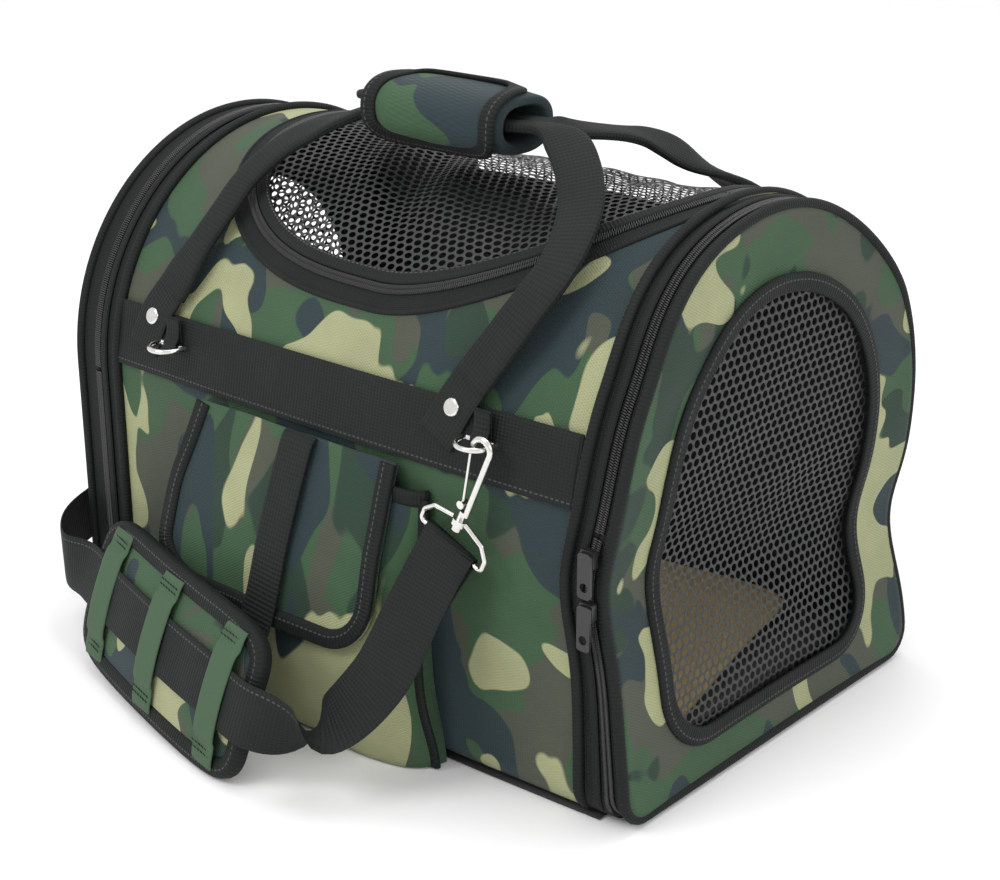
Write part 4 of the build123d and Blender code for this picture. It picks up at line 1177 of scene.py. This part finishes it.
# --- stage --------------------------------------------------------------------
CAMERA_PLACE = Vector((0.716465, -0.809577, 0.531358))
CAMERA_TURN, CAMERA_RISE, LENS = math.radians(41.12), math.radians(20.78), 70.23


def area_light(name, place, size, power):
    data = bpy.data.lights.new(name, "AREA")
    data.size, data.energy = size, power
    obj = bpy.data.objects.new(name, data)
    bpy.context.scene.collection.objects.link(obj)
    obj.location = place
    obj.rotation_euler = (Vector((0, 0, 0.12)) - Vector(place)).to_track_quat("-Z", "Y").to_euler()


def build_stage():
    """Pale floor, soft lights and the camera."""
    scene = bpy.context.scene
    scene.view_settings.view_transform = "Standard"
    plane = np.array([[-4, -4, 0], [4, -4, 0], [4, 4, 0], [-4, 4, 0]], float) - [0, 0, 0.0004]
    floor = add_object("stage_floor", plane, [np.array([[0, 1, 2, 3]])], np.zeros((4, 2)))
    floor.data.materials.append(plain_finish("pale_floor", (0.95, 0.95, 0.95), 0.8, grain=0.0, scale=8,
                                             spread=0.02))
    world = bpy.data.worlds.new("studio")
    world.use_nodes = True
    world.node_tree.nodes["Background"].inputs["Color"].default_value = (1, 1, 1, 1)
    world.node_tree.nodes["Background"].inputs["Strength"].default_value = 1.0
    scene.world = world
    area_light("key", (-0.4, -1.5, 1.7), 0.9, 15)
    area_light("side", (1.7, -0.3, 1.0), 0.8, 5)
    area_light("top", (0.0, 0.4, 1.9), 1.1, 9)
    data = bpy.data.cameras.new("camera")
    data.sensor_width, data.lens = 36, LENS
    camera = bpy.data.objects.new("camera", data)
    scene.collection.objects.link(camera)
    back = Vector((math.sin(CAMERA_TURN) * math.cos(CAMERA_RISE),
                   -math.cos(CAMERA_TURN) * math.cos(CAMERA_RISE), math.sin(CAMERA_RISE)))
    right = Vector((math.cos(CAMERA_TURN), math.sin(CAMERA_TURN), 0))
    turn = Matrix((right, back.cross(right), back)).transposed()
    camera.matrix_world = Matrix.Translation(CAMERA_PLACE) @ turn.to_4x4()
    scene.camera = camera


# --- properties, operators and panel ------------------------------------------
class CarrierSizes(bpy.types.PropertyGroup):
    handle_width: bpy.props.FloatProperty(
        name="Handle width", description="Width of the folded handle webbing", default=0.0245,
        min=0.01, max=0.05, subtype="DISTANCE", unit="LENGTH")
    strap_width: bpy.props.FloatProperty(
        name="Strap width", description="Width of the shoulder strap webbing", default=0.033,
        min=0.02, max=0.06, subtype="DISTANCE", unit="LENGTH")
    pad_thickness: bpy.props.FloatProperty(
        name="Pad thickness", description="Thickness of the shoulder pad at its middle", default=0.010,
        min=0.004, max=0.02, subtype="DISTANCE", unit="LENGTH")


class CarrierFinish(bpy.types.PropertyGroup):
    camo_seed: bpy.props.FloatProperty(
        name="Camouflage seed", description="Moves the blotches of the camouflage print", default=2.0)
    camo_size: bpy.props.FloatProperty(
        name="Camouflage scale", description="Blotches to the metre in the camouflage print", default=18.5,
        min=2.0, max=60.0)
    webbing_colour: bpy.props.FloatVectorProperty(
        name="Webbing colour", description="Colour of the webbing, binding and tapes", subtype="COLOR",
        size=3, default=(0.0075, 0.0098, 0.0094), min=0.0, max=1.0)


class CARRIER_OT_stage(bpy.types.Operator):
    """Lay the floor, hang the lights and set the camera"""
    bl_idname = "carrier.stage"
    bl_label = "Stage"

    def execute(self, context):
        build_stage()
        return {"FINISHED"}


class CARRIER_OT_strap(bpy.types.Operator):
    """Run the shoulder strap from hook to hook"""
    bl_idname = "carrier.strap"
    bl_label = "Shoulder strap"

    def execute(self, context):
        build_strap()
        return {"FINISHED"}


class CARRIER_OT_pad(bpy.types.Operator):
    """Sew the shoulder pad with its edge and loops"""
    bl_idname = "carrier.pad"
    bl_label = "Shoulder pad"

    def execute(self, context):
        build_pad()
        return {"FINISHED"}


class CARRIER_OT_panels(bpy.types.Operator):
    """Sew the side and roof panels and the belts"""
    bl_idname = "carrier.panels"
    bl_label = "Side and roof panels"

    def execute(self, context):
        build_sides()
        build_roof()
        build_belts()
        return {"FINISHED"}


class CARRIER_OT_doors(bpy.types.Operator):
    """Make both end doors and the zip bands that they close on"""
    bl_idname = "carrier.doors"
    bl_label = "End doors"

    def execute(self, context):
        build_door("near", 1, NEAR_X, NEAR_ZIP)
        build_door("far", -1, FAR_X, FAR_ZIP)
        build_end_band("near", 1, NEAR_SEAM, NEAR_ZIP)
        build_end_band("far", -1, FAR_SEAM, FAR_ZIP)
        return {"FINISHED"}


class CARRIER_OT_top(bpy.types.Operator):
    """Make the net top flap and its zip"""
    bl_idname = "carrier.top"
    bl_label = "Top flap"

    def execute(self, context):
        build_top()
        return {"FINISHED"}


class CARRIER_OT_pocket(bpy.types.Operator):
    """Make the side pocket with its flap and tab"""
    bl_idname = "carrier.pocket"
    bl_label = "Pocket"

    def execute(self, context):
        build_pocket()
        return {"FINISHED"}


class CARRIER_OT_handles(bpy.types.Operator):
    """Make both handles, the grip wrap, anchors and ring keepers"""
    bl_idname = "carrier.handles"
    bl_label = "Handles"

    def execute(self, context):
        build_handles()
        build_keepers()
        return {"FINISHED"}


class CARRIER_OT_inside(bpy.types.Operator):
    """Lay the bag floor and the pile mat"""
    bl_idname = "carrier.inside"
    bl_label = "Floor and mat"

    def execute(self, context):
        build_floor()
        return {"FINISHED"}


class CARRIER_OT_hardware(bpy.types.Operator):
    """Finish the rings, hooks, rivets, sliders and board"""
    bl_idname = "carrier.hardware"
    bl_label = "Hardware"

    def execute(self, context):
        finish_hardware()
        return {"FINISHED"}


OPERATORS = (CARRIER_OT_stage, CARRIER_OT_strap, CARRIER_OT_pad, CARRIER_OT_panels, CARRIER_OT_doors,
             CARRIER_OT_top, CARRIER_OT_pocket, CARRIER_OT_handles, CARRIER_OT_inside, CARRIER_OT_hardware)


class CARRIER_PT_panel(bpy.types.Panel):
    """Sizes, finishes and build steps of the carrier"""
    bl_idname = "CARRIER_PT_panel"
    bl_label = "Pet carrier"
    bl_space_type = "VIEW_3D"
    bl_region_type = "UI"
    bl_category = "Carrier"

    def draw(self, context):
        layout = self.layout
        for group in (context.scene.carrier_sizes, context.scene.carrier_finish):
            for label in group.bl_rna.properties.keys():
                if label not in {"rna_type", "name"}:
                    layout.prop(group, label)
        for operator in OPERATORS:
            layout.operator(operator.bl_idname)


CLASSES = (CarrierSizes, CarrierFinish, *OPERATORS, CARRIER_PT_panel)


def register():
    for cls in CLASSES:
        bpy.utils.register_class(cls)
    bpy.types.Scene.carrier_sizes = bpy.props.PointerProperty(type=CarrierSizes)
    bpy.types.Scene.carrier_finish = bpy.props.PointerProperty(type=CarrierFinish)


def unregister():
    del bpy.types.Scene.carrier_finish
    del bpy.types.Scene.carrier_sizes
    for cls in reversed(CLASSES):
        bpy.utils.unregister_class(cls)


def main():
    register()
    make_materials()
    for operator in OPERATORS:
        category, call = operator.bl_idname.split(".")
        getattr(getattr(bpy.ops, category), call)()


if __name__ == "__main__":
    main()
